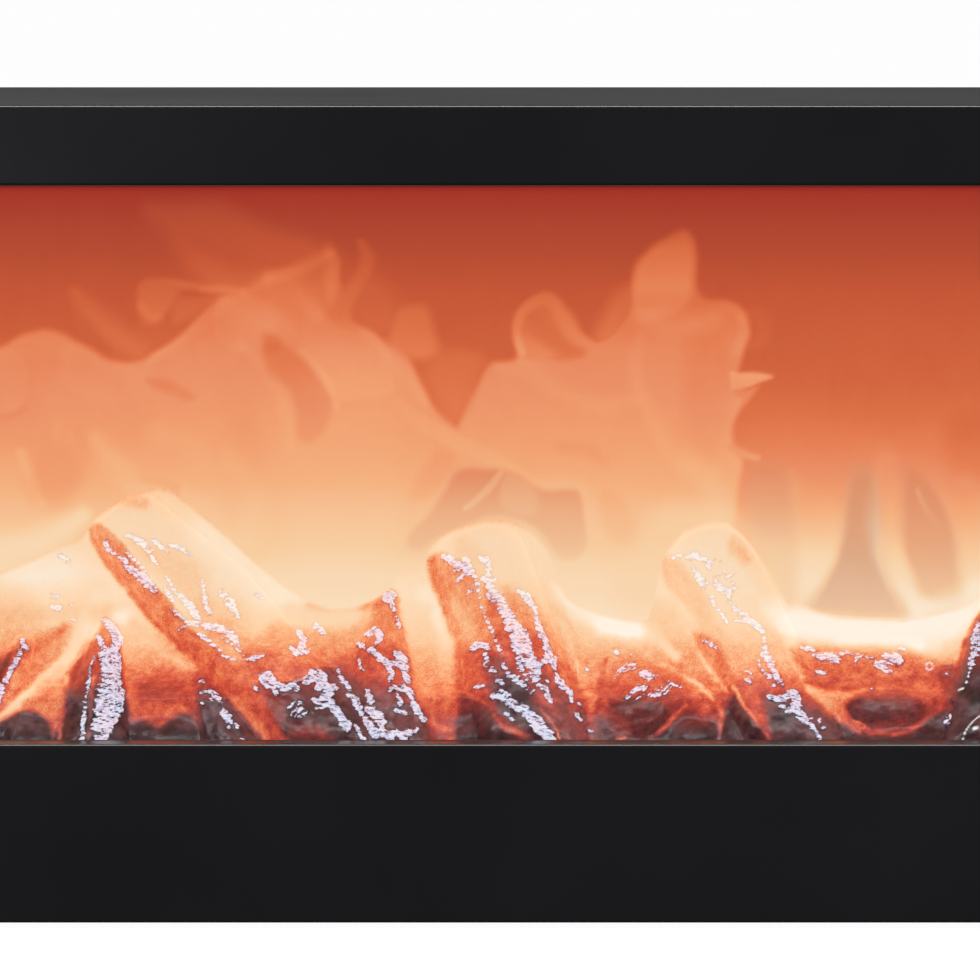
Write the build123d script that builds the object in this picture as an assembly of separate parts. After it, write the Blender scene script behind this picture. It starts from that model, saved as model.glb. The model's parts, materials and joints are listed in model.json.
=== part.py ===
from build123d import *
import math
import os

# Table-top electric fireplace: a wide black case with a clear window. Behind the window a formed,
# translucent log bed lies in front of a flame print. Under the bed and behind the print are LED strips,
# and a motor turns a spindle of bright flags that throws moving light on the print. Cells, control board,
# slide switch and power socket are in the thick base, and they are reached from the rear.
# Frame: X to the right seen from the front, front faces -Y, Z up, origin on the floor under the centre.

os.makedirs("parts", exist_ok=True)

# ---------------------------------------------------------------- driving dimensions (mm)
case_w = 350.0          # outer width
case_d = 105.0          # outer depth
case_h = 200.0          # case height without the feet
foot_out = 1.5          # how far the feet stand out below the case
wall = 2.5              # case wall
corner_r = 2.0          # outer corners seen from the front
edge_r = 0.8            # moulded edge radius of the front face
win_half = 155.5        # half width of the window opening
win_z0, win_z1 = 46.0, 182.1   # window opening, bottom and top
rim_deep = 5.0          # depth of the window rim behind the front face
rim_w = 5.0             # width of the rim outside the opening
gasket_t = 0.8
pane_t = 1.5
retainer_t = 1.2
floor_z0, floor_t = 40.0, 2.0  # firebox floor
screen_y = 4.0          # front face of the flame print
film_t, diffuser_t = 0.5, 2.0
spin_y, spin_z = 27.0, 64.0    # spindle axis
flag_r = 14.0
module = 0.8
teeth_spindle, teeth_pinion = 40, 16
centre_slack = 0.12
cell_r, cell_len = 13.1, 50.0
cell_y, cell_z = 30.5, 20.0
door_axis_y, door_axis_z = 50.9, 8.6
switch_x, switch_z = 118.0, 22.5
socket_x, socket_z = 142.0, 22.5

front = -case_d / 2
rear = case_d / 2
z_bot = foot_out
z_top = foot_out + case_h
in_x = case_w / 2 - wall
in_z0 = z_bot + wall
in_z1 = z_top - wall
front_in = front + wall
rim_y = front + rim_deep
pane_y0 = rim_y + gasket_t
pane_y1 = pane_y0 + pane_t
retainer_y1 = pane_y1 + retainer_t
floor_z1 = floor_z0 + floor_t
cover_y0 = rear - wall


def block(x0, x1, y0, y1, z0, z1):
    return Pos((x0 + x1) / 2, (y0 + y1) / 2, (z0 + z1) / 2) * Box(x1 - x0, y1 - y0, z1 - z0)


def rod_x(x0, x1, y, z, r):
    return Pos((x0 + x1) / 2, y, z) * Rot(0, 90, 0) * Cylinder(r, x1 - x0)


def rod_y(y0, y1, x, z, r):
    return Pos(x, (y0 + y1) / 2, z) * Rot(90, 0, 0) * Cylinder(r, y1 - y0)


def rod_z(z0, z1, x, y, r):
    return Pos(x, y, (z0 + z1) / 2) * Cylinder(r, z1 - z0)


def write(shape, name):
    export_step(shape, f"parts/{name}.step")


def group(solids):
    return Compound(children=list(solids)) if len(solids) > 1 else solids[0]


# ---------------------------------------------------------------- screw positions
cover_screws = [(sx * 167.5, z) for sx in (-1, 1) for z in (9.0, 100.0, 194.0)]
pane_screws = [(sx * 163.3, z) for sx in (-1, 1) for z in (70.0, 158.0)] + [
    (sx * 80.0, z) for sx in (-1, 1) for z in (win_z0 - 7.8, win_z1 + 7.8)
]
floor_screws = [(sx * 168.2, y) for sx in (-1, 1) for y in (-30.0, 34.0)]
board_screws = [(x, z) for x in (100.0, 152.0) for z in (12.0, 33.0)]

# ---------------------------------------------------------------- front housing
housing = Pos(0, 0, z_bot + case_h / 2) * Box(case_w, case_d, case_h)
housing = fillet(housing.edges().filter_by(Axis.Y), corner_r)
housing -= block(-in_x, in_x, front_in, rear + 1, in_z0, in_z1)
housing -= block(-win_half, win_half, front - 1, front_in + 1, win_z0, win_z1)
housing = fillet(housing.faces().sort_by(Axis.Y)[0].edges(), edge_r)
rim = block(-win_half - rim_w, win_half + rim_w, front_in, rim_y, win_z0 - rim_w, win_z1 + rim_w)
rim -= block(-win_half, win_half, front_in - 1, rim_y + 1, win_z0, win_z1)
housing += rim
for x, z in pane_screws:
    housing += rod_y(front_in, pane_y1, x, z, 2.5)
for sx in (-1, 1):
    x0, x1 = sorted((sx * (in_x - 6.0), sx * in_x))
    housing += block(x0, x1, -40.0, 40.0, floor_z0 - 6.0, floor_z0)
for x, z in cover_screws:
    x0, x1 = sorted((math.copysign(162.5, x), math.copysign(in_x, x)))
    z0, z1 = (in_z0, 14.0) if z < 20 else ((189.0, in_z1) if z > 180 else (z - 5, z + 5))
    housing += block(x0, x1, 40.0, cover_y0, z0, z1)
for x, z in pane_screws:
    housing -= rod_y(pane_y1 - 4.2, pane_y1 + 1, x, z, 0.9)
for x, z in cover_screws:
    housing -= rod_y(cover_y0 - 8.5, cover_y0 + 1, x, z, 1.25)
for x, y in floor_screws:
    housing -= rod_z(floor_z0 - 5.0, floor_z0 + 1, x, y, 0.9)
for sx in (-1, 1):
    for y in (-38.0, 38.0):
        housing -= rod_z(z_bot - 1, z_bot + 1.0, sx * 158.0, y, 7.2)
write(housing, "front_housing")

feet = [rod_z(0, z_bot + 1.0, sx * 158.0, y, 7.0) for sx in (-1, 1) for y in (-38.0, 38.0)]
feet = [chamfer(f.edges().group_by(Axis.Z)[0], 0.6) for f in feet]
write(group(feet), "rubber_feet")

# ---------------------------------------------------------------- window: gasket, pane, retainer, screws
g_out = block(-win_half - 4.5, win_half + 4.5, rim_y, pane_y0, win_z0 - 4.5, win_z1 + 4.5)
gasket = g_out - block(-win_half - 0.6, win_half + 0.6, rim_y - 1, pane_y0 + 1, win_z0 - 0.6, win_z1 + 0.6)
write(gasket, "pane_gasket")

pane = block(-win_half - rim_w, win_half + rim_w, pane_y0, pane_y1, win_z0 - rim_w, win_z1 + rim_w)
write(pane, "window_pane")

ret = block(-166.0, 166.0, pane_y1, retainer_y1, win_z0 - 10.4, win_z1 + 10.4)
ret -= block(-win_half - 0.4, win_half + 0.4, pane_y1 - 1, retainer_y1 + 1, win_z0 - 0.4, win_z1 + 0.4)
for x, z in pane_screws:
    ret -= rod_y(pane_y1 - 1, retainer_y1 + 1, x, z, 1.15)
write(ret, "pane_retainer")

write(
    group([
        rod_y(retainer_y1, retainer_y1 + 1.2, x, z, 2.0) + rod_y(pane_y1 - 3.8, retainer_y1, x, z, 0.88)
        for x, z in pane_screws
    ]),
    "pane_retainer_screws",
)

# ---------------------------------------------------------------- firebox floor and liners
grommets = [(118.0, 30.0), (149.5, -23.0)]
floor = block(-170.0, 170.0, -42.5, 47.5, floor_z0, floor_z1)
for x, y in floor_screws:
    floor -= rod_z(floor_z0 - 1, floor_z1 + 1, x, y, 1.15)
for x, y in grommets:
    floor -= rod_z(floor_z0 - 1, floor_z1 + 1, x, y, 4.0)
strip_holes = [(-130.0, -23.0), (0.0, -23.0), (130.0, -23.0), (-125.2, 13.5), (-17.2, 13.5), (107.0, 13.5)]
bracket_holes = [(-146.0, 18.0), (-146.0, 36.0), (134.0, 18.0), (134.0, 36.0)]
for x, y in strip_holes + bracket_holes:
    floor -= rod_z(floor_z0 - 1, floor_z1 + 1, x, y, 0.9)
write(floor, "firebox_floor")
write(
    group([rod_z(floor_z1, floor_z1 + 1.2, x, y, 1.8) + rod_z(floor_z0 - 3.6, floor_z1, x, y, 0.88) for x, y in floor_screws]),
    "floor_screws",
)
for side, sx in (("left", -1), ("right", 1)):
    x0, x1 = sorted((sx * 158.0, sx * 159.5))
    write(block(x0, x1, -43.9, screen_y - 1.6, floor_z1, 187.5), f"firebox_{side}_liner")
write(block(-159.5, 159.5, -42.5, screen_y - 1.6, 187.5, 189.0), "firebox_top_liner")

grommet_parts = []
for x, y in grommets:
    g = rod_z(floor_z0 - 1.0, floor_z0, x, y, 5.5) + rod_z(floor_z0, floor_z1, x, y, 3.95) + rod_z(floor_z1, floor_z1 + 1.0, x, y, 5.5)
    grommet_parts.append(g - rod_z(floor_z0 - 2, floor_z1 + 2, x, y, 2.6))
write(group(grommet_parts), "wire_grommets")

# ---------------------------------------------------------------- log bed: a formed shell, hollow underneath
bed_half = 157.5
bed_y0, bed_y1 = -42.3, 3.2
skin = 1.2
surface = [(bed_y0, 47.0), (-36.0, 51.0), (-27.0, 59.0), (-15.0, 65.5), (-4.0, 70.0), (bed_y1, 70.5)]
outer_line = [(bed_y0, floor_z1)] + surface + [(bed_y1, floor_z1)]
inner_line = (
    [(bed_y0 + skin, floor_z1 - 1)]
    + [(bed_y0 + skin, 46.4), (-35.6, 49.5), (-26.6, 57.5), (-14.7, 64.2), (-4.0, 68.7), (bed_y1 - skin, 69.2)]
    + [(bed_y1 - skin, floor_z1 - 1)]
)


def prism_x(line, x0, x1):
    pts = [(x0, y, z) for y, z in line]
    return extrude(make_face(Polyline(*pts, close=True)), amount=x1 - x0, dir=(1, 0, 0))


def log_between(a, b, r):
    a, b = Vector(*a), Vector(*b)
    d = b - a
    return Plane(origin=(a + b) * 0.5, z_dir=d) * Cylinder(r, d.length)


# each log: far top end, near bottom end, radius
logs = [
    ((-86.0, -1.0, 84.0), (-34.0, -32.0, 46.0), 11.0),
    ((-26.0, -14.0, 68.0), (-24.0, -34.0, 46.0), 8.5),
    ((-4.0, -2.0, 82.0), (11.0, -32.0, 46.0), 10.5),
    ((53.0, -2.0, 82.0), (76.0, -32.0, 46.0), 9.5),
    ((127.0, -6.0, 76.0), (120.0, -33.0, 46.0), 9.5),
    ((-94.0, -18.0, 60.0), (-97.0, -35.0, 46.0), 7.0),
    ((-128.0, -4.0, 74.0), (-139.0, -32.0, 46.0), 9.0),
    ((-66.0, -20.0, 54.0), (-60.0, -36.0, 45.0), 6.5),
    ((44.0, -22.0, 54.0), (34.0, -35.0, 46.0), 8.0),
    ((86.0, -21.0, 56.0), (102.0, -34.0, 46.0), 8.0),
]
bed_out = prism_x(outer_line, -bed_half, bed_half)
bed_in = prism_x(inner_line, -bed_half + skin, bed_half - skin)
for a, b, r in logs:
    bed_out += log_between(a, b, r)
    bed_in += log_between(a, b, r - skin)
bed_out &= block(-bed_half, bed_half, bed_y0, bed_y1, floor_z1, 120.0)
bed_in &= block(-bed_half + skin, bed_half - skin, bed_y0 + skin, bed_y1 - skin, floor_z1 - 1, 119.0)
bed = bed_out - bed_in
bed = max(bed.solids(), key=lambda s: s.volume)
write(bed, "log_bed")

# ---------------------------------------------------------------- flame print, diffuser and their channels
scr_half = 163.0
scr_z0, scr_z1 = floor_z1 + 0.3, 188.0
write(block(-scr_half, scr_half, screen_y, screen_y + film_t, scr_z0, scr_z1), "flame_screen")
write(block(-scr_half, scr_half, screen_y + film_t, screen_y + film_t + diffuser_t, scr_z0, scr_z1), "diffuser_panel")
for side, sx in (("left", -1), ("right", 1)):
    x0, x1 = sorted((sx * 160.0, sx * 166.0))
    gx0, gx1 = sorted((sx * 159.0, sx * 163.2))
    rail = block(x0, x1, screen_y - 1.5, screen_y + 4.5, floor_z1, 190.5)
    rail -= block(gx0, gx1, screen_y, screen_y + 2.5, floor_z1 - 1, 191.0)
    write(rail, f"screen_{side}_channel")
top_ch = block(-159.9, 159.9, screen_y - 1.5, screen_y + 4.5, 187.0, 190.5)
top_ch -= block(-160.5, 160.5, screen_y, screen_y + 2.5, 186.0, 188.2)
write(top_ch, "screen_top_channel")

# ---------------------------------------------------------------- LED strips
def dome_led(x, y, z):
    led = rod_z(z, z + 1.0, x, y, 2.9) + rod_z(z + 1.0, z + 5.0, x, y, 2.5)
    return led + Pos(x, y, z + 5.0) * Sphere(2.5)


def strip(x0, x1, y, holes):
    s = block(x0, x1, y - 4.0, y + 4.0, floor_z1, floor_z1 + 1.6)
    for x, hy in holes:
        s -= rod_z(floor_z1 - 1, floor_z1 + 3, x, hy, 1.15)
    return s


write(strip(-145.0, 143.0, -23.0, strip_holes[:3]), "log_led_board")
write(group([dome_led(-118.0 + 26.2 * i, -23.0, floor_z1 + 1.6) for i in range(10) if abs(-118.0 + 26.2 * i) > 4]), "log_leds")
write(strip(-140.6, 111.0, 13.5, strip_holes[3:]), "flame_led_board")
write(group([dome_led(-136.0 + 21.6 * i, 13.5, floor_z1 + 1.6) for i in range(11)]), "flame_leds")
write(
    group([rod_z(floor_z1 + 1.6, floor_z1 + 2.7, x, y, 1.8) + rod_z(floor_z0 - 2.0, floor_z1 + 1.6, x, y, 0.88) for x, y in strip_holes]),
    "led_board_screws",
)

# ---------------------------------------------------------------- rear reflector
ref_in = [(45.7, floor_z1), (45.7, 115.0), (42.0, 140.0), (34.0, 163.0), (22.0, 180.0), (10.0, 187.6)]
ref_out = [(46.5, floor_z1), (46.5, 115.1), (42.8, 140.2), (34.7, 163.4), (22.5, 180.6), (10.4, 188.4)]
write(prism_x(ref_in + ref_out[::-1], -157.0, 157.0), "rear_reflector")

# ---------------------------------------------------------------- spindle brackets, bushes, shaft, flags
pin_z = spin_z + module * (teeth_spindle + teeth_pinion) / 2 + centre_slack
left = block(-155.0, -152.0, 14.0, 40.0, floor_z1, 78.0) + block(-155.0, -141.0, 14.0, 40.0, floor_z1, floor_z1 + 2.0)
left = fillet(left.edges().filter_by(Axis.X).group_by(Axis.Z)[-1], 6.0)
right = block(140.0, 143.0, 14.0, 40.0, floor_z1, 101.0) + block(128.0, 143.0, 14.0, 40.0, floor_z1, floor_z1 + 2.0)
right = fillet(right.edges().filter_by(Axis.X).group_by(Axis.Z)[-1], 6.0)
left -= rod_x(-156, -151, spin_y, spin_z, 3.52)
right -= rod_x(139, 144, spin_y, spin_z, 3.52)
right -= rod_x(139, 144, spin_y, pin_z, 2.2)
for dy in (-4.5, 4.5):
    right -= rod_x(139, 144, spin_y + dy, pin_z, 0.9)
for x, y in bracket_holes:
    cut = rod_z(floor_z1 - 1, floor_z1 + 3, x, y, 1.15)
    if x < 0:
        left -= cut
    else:
        right -= cut
write(left, "spindle_left_bracket")
write(right, "spindle_right_bracket")
write(
    group([rod_z(floor_z1 + 2.0, floor_z1 + 3.2, x, y, 1.8) + rod_z(floor_z0 - 2.0, floor_z1 + 2.0, x, y, 0.88) for x, y in bracket_holes]),
    "bracket_screws",
)
bush_l = rod_x(-155.0, -152.0, spin_y, spin_z, 3.5) + rod_x(-152.0, -151.0, spin_y, spin_z, 4.5)
bush_r = rod_x(140.0, 143.0, spin_y, spin_z, 3.5) + rod_x(139.0, 140.0, spin_y, spin_z, 4.5)
write(bush_l - rod_x(-156, -150, spin_y, spin_z, 2.03), "spindle_left_bush")
write(bush_r - rod_x(138, 144, spin_y, spin_z, 2.03), "spindle_right_bush")

shaft = rod_x(-157.2, 151.5, spin_y, spin_z, 2.0)
write(shaft, "spindle_shaft")
write(
    group([rod_x(a, a + 0.8, spin_y, spin_z, 3.6) - rod_x(a - 1, a + 2, spin_y, spin_z, 2.02) for a in (-156.3, 143.5)]),
    "shaft_clips",
)
flags = []
for i in range(11):
    x = -130.0 + 22.0 * i
    hub = rod_x(x - 9.0, x + 9.0, spin_y, spin_z, 3.6)
    for k in (0, 1):
        petal = Pos(0, spin_y, spin_z) * Rot(37.0 * i + 180.0 * k, 0, 0) * Pos(x, 0, (3.0 + flag_r) / 2) * Box(17.0, 0.5, flag_r - 3.0)
        hub += petal
    flags.append(hub - rod_x(x - 10.0, x + 10.0, spin_y, spin_z, 2.02))
write(group(flags), "spindle_flags")


# ---------------------------------------------------------------- gears: involute, 20 degrees, with backlash
def gear_outline(teeth, phase_deg, backlash=0.10):
    rp = module * teeth / 2
    rb = rp * math.cos(math.radians(20))
    ra, rf = rp + module * 0.96, rp - module * 1.25
    inv20 = math.tan(math.radians(20)) - math.radians(20)
    half = (math.pi * module / 2 - backlash) / (2 * rp) + inv20

    def at(r):
        if r <= rb:
            return half
        t = math.acos(rb / r)
        return half - (math.tan(t) - t)

    radii = [rf, max(rb, rf + 0.05)] + [max(rb, rf) + (ra - max(rb, rf)) * k / 4 for k in (1, 2, 3, 4)]
    pts = []
    for n in range(teeth):
        mid = math.radians(phase_deg) + 2 * math.pi * n / teeth
        for r in radii:
            pts.append((r * math.cos(mid - at(r)), r * math.sin(mid - at(r))))
        for r in reversed(radii):
            pts.append((r * math.cos(mid + at(r)), r * math.sin(mid + at(r))))
    return pts


def gear_solid(teeth, phase_deg, x0, x1, y, z):
    pts = [(x0, y + a, z + b) for a, b in gear_outline(teeth, phase_deg)]
    return extrude(make_face(Polyline(*pts, close=True)), amount=x1 - x0, dir=(1, 0, 0))


big = gear_solid(teeth_spindle, 90.0, 145.0, 149.0, spin_y, spin_z) + rod_x(149.0, 151.0, spin_y, spin_z, 4.5)
write(big - rod_x(144, 152, spin_y, spin_z, 2.02), "spindle_gear")
small = gear_solid(teeth_pinion, 90.0 + 180.0 / teeth_pinion, 144.6, 149.4, spin_y, pin_z)
write(small - rod_x(144, 150, spin_y, pin_z, 1.02), "motor_pinion")

# ---------------------------------------------------------------- gear motor
can = block(115.0, 130.0, spin_y - 6.0, spin_y + 6.0, pin_z - 5.0, pin_z + 5.0)
can = fillet(can.edges().filter_by(Axis.X), 2.2)
can += rod_x(113.8, 115.0, spin_y, pin_z, 2.4)
write(can, "motor_can")
gbox = block(130.0, 140.0, spin_y - 6.0, spin_y + 6.0, pin_z - 5.0, pin_z + 5.0)
gbox -= rod_x(131.0, 141.0, spin_y, pin_z, 1.05)
for dy in (-4.5, 4.5):
    gbox -= rod_x(136.0, 141.0, spin_y + dy, pin_z, 0.9)
write(gbox, "motor_gearbox")
write(rod_x(131.0, 150.2, spin_y, pin_z, 1.0), "motor_shaft")
write(
    group([rod_x(143.0, 144.1, spin_y + dy, pin_z, 1.5) + rod_x(137.0, 143.0, spin_y + dy, pin_z, 0.88) for dy in (-4.5, 4.5)]),
    "motor_screws",
)

# ---------------------------------------------------------------- cell holder, contacts, cells
holder = block(-84.0, 84.0, 15.4, 46.5, 5.0, 37.0)
holder -= block(-81.0, 81.0, 17.0, 47.5, 6.6, 35.4)
write(holder, "battery_holder")
cells = []
for i in range(3):
    x0 = -69.8 + cell_len * i
    c = rod_x(x0, x0 + cell_len - 1.6, cell_y, cell_z, cell_r)
    c = fillet(c.edges().group_by(Axis.X)[0] + c.edges().group_by(Axis.X)[-1], 1.0)
    c += rod_x(x0 + cell_len - 1.6, x0 + cell_len - 0.1, cell_y, cell_z, 3.6)
    cells.append(c)
write(group(cells), "battery_cells")
plate = block(80.2, 80.9, cell_y - 8, cell_y + 8, cell_z - 8, cell_z + 8)
write(plate, "battery_positive_contact")
spring_plate = block(-80.9, -80.3, cell_y - 8, cell_y + 8, cell_z - 8, cell_z + 8)
write(spring_plate, "battery_negative_contact")
turns, wire_r, coil_r = 4.0, 0.45, 5.0
coil = Helix(pitch=9.1 / turns, height=9.1, radius=coil_r)
coil_profile = Plane(origin=coil @ 0, z_dir=coil % 0) * Circle(wire_r)
spring = sweep(coil_profile, path=coil, is_frenet=True)
spring = Pos(-79.8, cell_y, cell_z) * Rot(0, 90, 0) * spring
write(spring, "battery_spring")

# ---------------------------------------------------------------- rear cover
cover = block(-in_x + 0.3, in_x - 0.3, cover_y0, rear, in_z0 + 0.3, in_z1 - 0.3)
cover = fillet(cover.edges().filter_by(Axis.Y), 0.8)
cover += block(-83.5, 83.5, 47.0, cover_y0, 5.0, 40.5 - 1.0)
cover -= block(-80.2, 80.2, 46.0, rear + 1, 6.6, 37.5)
for sx in (-1, 1):
    x0, x1 = sorted((sx * 79.0, sx * 82.9))
    cover -= rod_x(x0, x1, door_axis_y, door_axis_z, 0.9)
for x, z in board_screws:
    cover += rod_y(41.6, cover_y0, x, z, 2.6)
for x, z in board_screws:
    cover -= rod_y(40.0, 47.0, x, z, 0.9)
for x, z in cover_screws:
    cover -= rod_y(cover_y0 - 1, rear + 1, x, z, 1.6)
    cover -= rod_y(rear - 1.3, rear + 1, x, z, 3.3)
cover -= block(switch_x - 7.5, switch_x + 7.5, rear - 1.5, rear + 1, switch_z - 4.0, switch_z + 4.0)
cover -= block(switch_x - 4.3, switch_x + 4.3, cover_y0 - 1, rear + 1, switch_z - 1.8, switch_z + 1.8)
socket_hole = Pos(socket_x, rear + 1, socket_z) * Rot(90, 0, 0) * extrude(RectangleRounded(9.7, 4.0, 1.95), amount=5)
cover -= socket_hole
write(cover, "rear_cover")
write(
    group([rod_y(rear - 1.2, rear - 0.1, x, z, 2.9) + rod_y(cover_y0 - 8.0, rear - 1.2, x, z, 1.2) for x, z in cover_screws]),
    "rear_cover_screws",
)

# ---------------------------------------------------------------- battery door
door = block(-79.7, 79.7, rear - 2.0, rear, door_axis_z, 37.1)
door += rod_x(-79.7, 79.7, door_axis_y, door_axis_z, 1.6)
door += block(-7.0, 7.0, 47.0, rear - 1.8, 34.0, 36.9)
for sx in (-1, 1):
    x0, x1 = sorted((sx * 79.0, sx * 82.6))
    door += rod_x(x0, x1, door_axis_y, door_axis_z, 0.82)
for k in range(4):
    door -= block(-12.0, 12.0, rear - 0.5, rear + 1, 33.6 - 1.8 * k, 34.4 - 1.8 * k)
write(door, "battery_door")
write(block(-68.0, 68.0, rear - 4.0, rear - 2.0, 13.0, 28.0), "battery_door_pad")

# ---------------------------------------------------------------- control board, parts, switch, socket
board = block(96.0, 156.0, 40.0, 41.6, 8.0, 37.0)
for x, z in board_screws:
    board -= rod_y(39.0, 43.0, x, z, 1.15)
write(board, "control_board")
write(
    group([rod_y(38.8, 40.0, x, z, 1.8) + rod_y(40.0, 46.0, x, z, 0.88) for x, z in board_screws]),
    "control_board_screws",
)
comps = [
    rod_y(31.0, 40.0, 108.0, 26.0, 3.1),
    rod_y(33.0, 40.0, 116.5, 27.0, 2.6),
    block(122.0, 130.0, 38.3, 40.0, 20.0, 26.0),
    block(134.0, 139.0, 38.0, 40.0, 24.0, 29.0),
    block(120.0, 122.5, 38.9, 40.0, 13.0, 15.0),
    block(126.0, 128.5, 38.9, 40.0, 13.0, 15.0),
    rod_y(36.0, 40.0, 143.0, 15.0, 4.0),
]
write(group(comps), "control_board_parts")

sw = block(switch_x - 6.0, switch_x + 6.0, 41.6, 46.6, switch_z - 3.0, switch_z + 3.0)
sw -= block(switch_x - 4.8, switch_x + 4.8, 43.2, 45.6, switch_z - 2.2, switch_z + 2.2)
sw -= block(switch_x - 4.3, switch_x + 4.3, 45.0, 47.6, switch_z - 1.8, switch_z + 1.8)
write(sw, "mode_switch_body")
slider = block(switch_x - 2.2, switch_x + 2.2, 43.4, 45.4, switch_z - 2.0, switch_z + 2.0)
slider += block(switch_x - 1.5, switch_x + 1.5, 45.0, rear - 0.4, switch_z - 1.5, switch_z + 1.5)
slider += block(switch_x - 2.3, switch_x + 2.3, rear - 1.3, rear - 0.3, switch_z - 2.6, switch_z + 2.6)
for dx in (-1.2, 0.0, 1.2):
    slider -= block(switch_x + dx - 0.25, switch_x + dx + 0.25, rear - 0.6, rear + 1, switch_z - 3, switch_z + 3)
write(slider, "mode_switch_slider")

face = Pos(socket_x, rear - 0.3, socket_z) * Rot(90, 0, 0)
shell = face * extrude(RectangleRounded(8.94, 3.26, 1.6), amount=7.4)
shell -= face * extrude(RectangleRounded(8.34, 2.66, 1.3), amount=6.4)
shell += face * Pos(0, 0, 0.8) * extrude(RectangleRounded(6.6, 0.7, 0.3), amount=6.0)
shell += block(socket_x - 4.4, socket_x + 4.4, 41.6, rear - 0.3 - 7.4, socket_z - 1.6, socket_z + 1.6)
write(shell, "power_socket")


# ---------------------------------------------------------------- internal leads
def lead(points, radii, r=0.7):
    path = FilletPolyline(*points, radius=radii)
    line = Wire(path.edges()) if not isinstance(path, Wire) else path
    tube = sweep(Plane(origin=line @ 0, z_dir=line % 0) * Circle(r), path=line)
    expected = math.pi * r * r * line.length
    print("lead", "radii", radii, "length", round(line.length, 1), "volume share", round(tube.volume / expected, 4))
    return tube


write(
    lead([(84.0, 30.5, 22.0), (90.5, 30.5, 22.0), (95.0, 33.0, 17.5), (104.0, 34.0, 17.0), (104.0, 40.0, 17.0)], [3.0, 3.0, 2.5]),
    "battery_positive_lead",
)
write(
    lead(
        [(-84.0, 30.5, 22.0), (-92.0, 30.5, 22.0), (-93.0, 9.0, 20.0), (60.0, 8.0, 19.0), (92.0, 15.0, 12.0), (108.0, 33.0, 12.0), (108.0, 40.0, 12.0)],
        [4.0, 7.0, 20.0, 8.0, 3.0],
    ),
    "battery_negative_lead",
)
write(
    group([
        lead([(113.8, spin_y + s * 3.6, 86.5), (108.5, spin_y + s * 3.6, 84.0), (110.0, spin_y + s * 3.0, 62.0), (118.0, 30.0 + s * 1.0, 52.0), (118.0, 30.0 + s * 1.0, 33.0), (118.0 + s * 3.0, 33.0, 31.0), (118.0 + s * 3.0, 40.0, 31.0)],
             [2.5, 5.0, 5.0, 2.0, 2.0], 0.6)
        for s in (-1, 1)
    ]),
    "motor_leads",
)
write(
    group([
        lead([(141.0 + s * 1.2, -25.0 - s * 1.2, 43.6), (141.0 + s * 1.2, -25.0 - s * 1.2, 48.0), (149.5, -23.0 + s * 1.1, 49.0), (149.5, -23.0 + s * 1.1, 34.0), (149.0, 8.0 + s * 1.2, 28.0), (149.0 - s * 1.4, 33.0, 24.0), (149.0 - s * 1.4, 40.0, 24.0)],
             [2.0, 2.0, 5.0, 10.0, 2.5], 0.6)
        for s in (-1, 1)
    ]),
    "log_led_leads",
)
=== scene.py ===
import json
import math

import bmesh
import bpy
import numpy as np
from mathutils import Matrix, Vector


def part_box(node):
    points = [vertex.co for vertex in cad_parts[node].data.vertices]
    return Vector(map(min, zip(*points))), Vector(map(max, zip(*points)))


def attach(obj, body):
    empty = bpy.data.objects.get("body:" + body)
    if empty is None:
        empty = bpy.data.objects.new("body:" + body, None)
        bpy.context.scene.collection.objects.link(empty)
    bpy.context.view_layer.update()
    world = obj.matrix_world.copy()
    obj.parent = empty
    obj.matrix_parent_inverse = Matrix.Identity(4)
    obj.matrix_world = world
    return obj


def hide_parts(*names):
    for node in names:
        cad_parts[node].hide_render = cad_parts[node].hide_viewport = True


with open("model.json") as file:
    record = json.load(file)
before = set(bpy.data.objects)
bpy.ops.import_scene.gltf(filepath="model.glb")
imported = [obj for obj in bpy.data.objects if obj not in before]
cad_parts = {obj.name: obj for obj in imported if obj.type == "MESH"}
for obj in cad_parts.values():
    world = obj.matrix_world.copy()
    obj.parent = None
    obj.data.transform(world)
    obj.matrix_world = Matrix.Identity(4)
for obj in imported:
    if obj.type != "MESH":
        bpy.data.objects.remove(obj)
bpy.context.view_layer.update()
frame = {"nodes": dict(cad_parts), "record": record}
nodes = frame["nodes"]
scene = bpy.context.scene
MM = 0.001

# ------------------------------------------------------------------ camera
EYE = np.array([0.0, -1152.5, 250.82])          # mm
TILT = math.radians(7.368)
FOCAL = 4581.67                                  # in sheet units, 980 across
FRONT = -52.5
cam_data = bpy.data.cameras.new("camera")
cam_data.sensor_width = 36.0
cam_data.lens = 36.0 * FOCAL / 980.0
cam = bpy.data.objects.new("camera", cam_data)
cam.location = EYE * MM
cam.rotation_euler = (math.radians(90) - TILT, 0, 0)
scene.collection.objects.link(cam)
scene.camera = cam
scene.view_settings.view_transform = "Standard"
scene.view_settings.look = "None"

# The flames and the embers are drawn on one front-view sheet, 980 units wide and high, u to the right and v down.
# place() lays a sheet point on the model at a given depth behind the front face, and sheet_of() is its inverse.
LENGTH = FRONT - EYE[1]


def front_point(u, v):
    """Where a sheet point meets the plane of the front face, as x and z in mm."""
    x, y = (u - 490.0) / FOCAL, -(v - 490.0) / FOCAL
    fwd = math.cos(TILT) + y * math.sin(TILT)
    up = -math.sin(TILT) + y * math.cos(TILT)
    k = LENGTH / fwd
    return x * k, EYE[2] + up * k


def place(u, v, d):
    x, z = front_point(u, v)
    s = 1.0 + d / LENGTH
    return x * s, FRONT + d, EYE[2] + (z - EYE[2]) * s


def sheet_of(x, y, z):
    dy, dz = y - EYE[1], z - EYE[2]
    depth = dy * math.cos(TILT) - dz * math.sin(TILT)
    up = dy * math.sin(TILT) + dz * math.cos(TILT)
    return 490.0 + FOCAL * x / depth, 490.0 - FOCAL * up / depth


# ------------------------------------------------------------------ drawing tools
def smooth(a):
    a = np.clip(a, 0.0, 1.0)
    return a * a * (3 - 2 * a)


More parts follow.
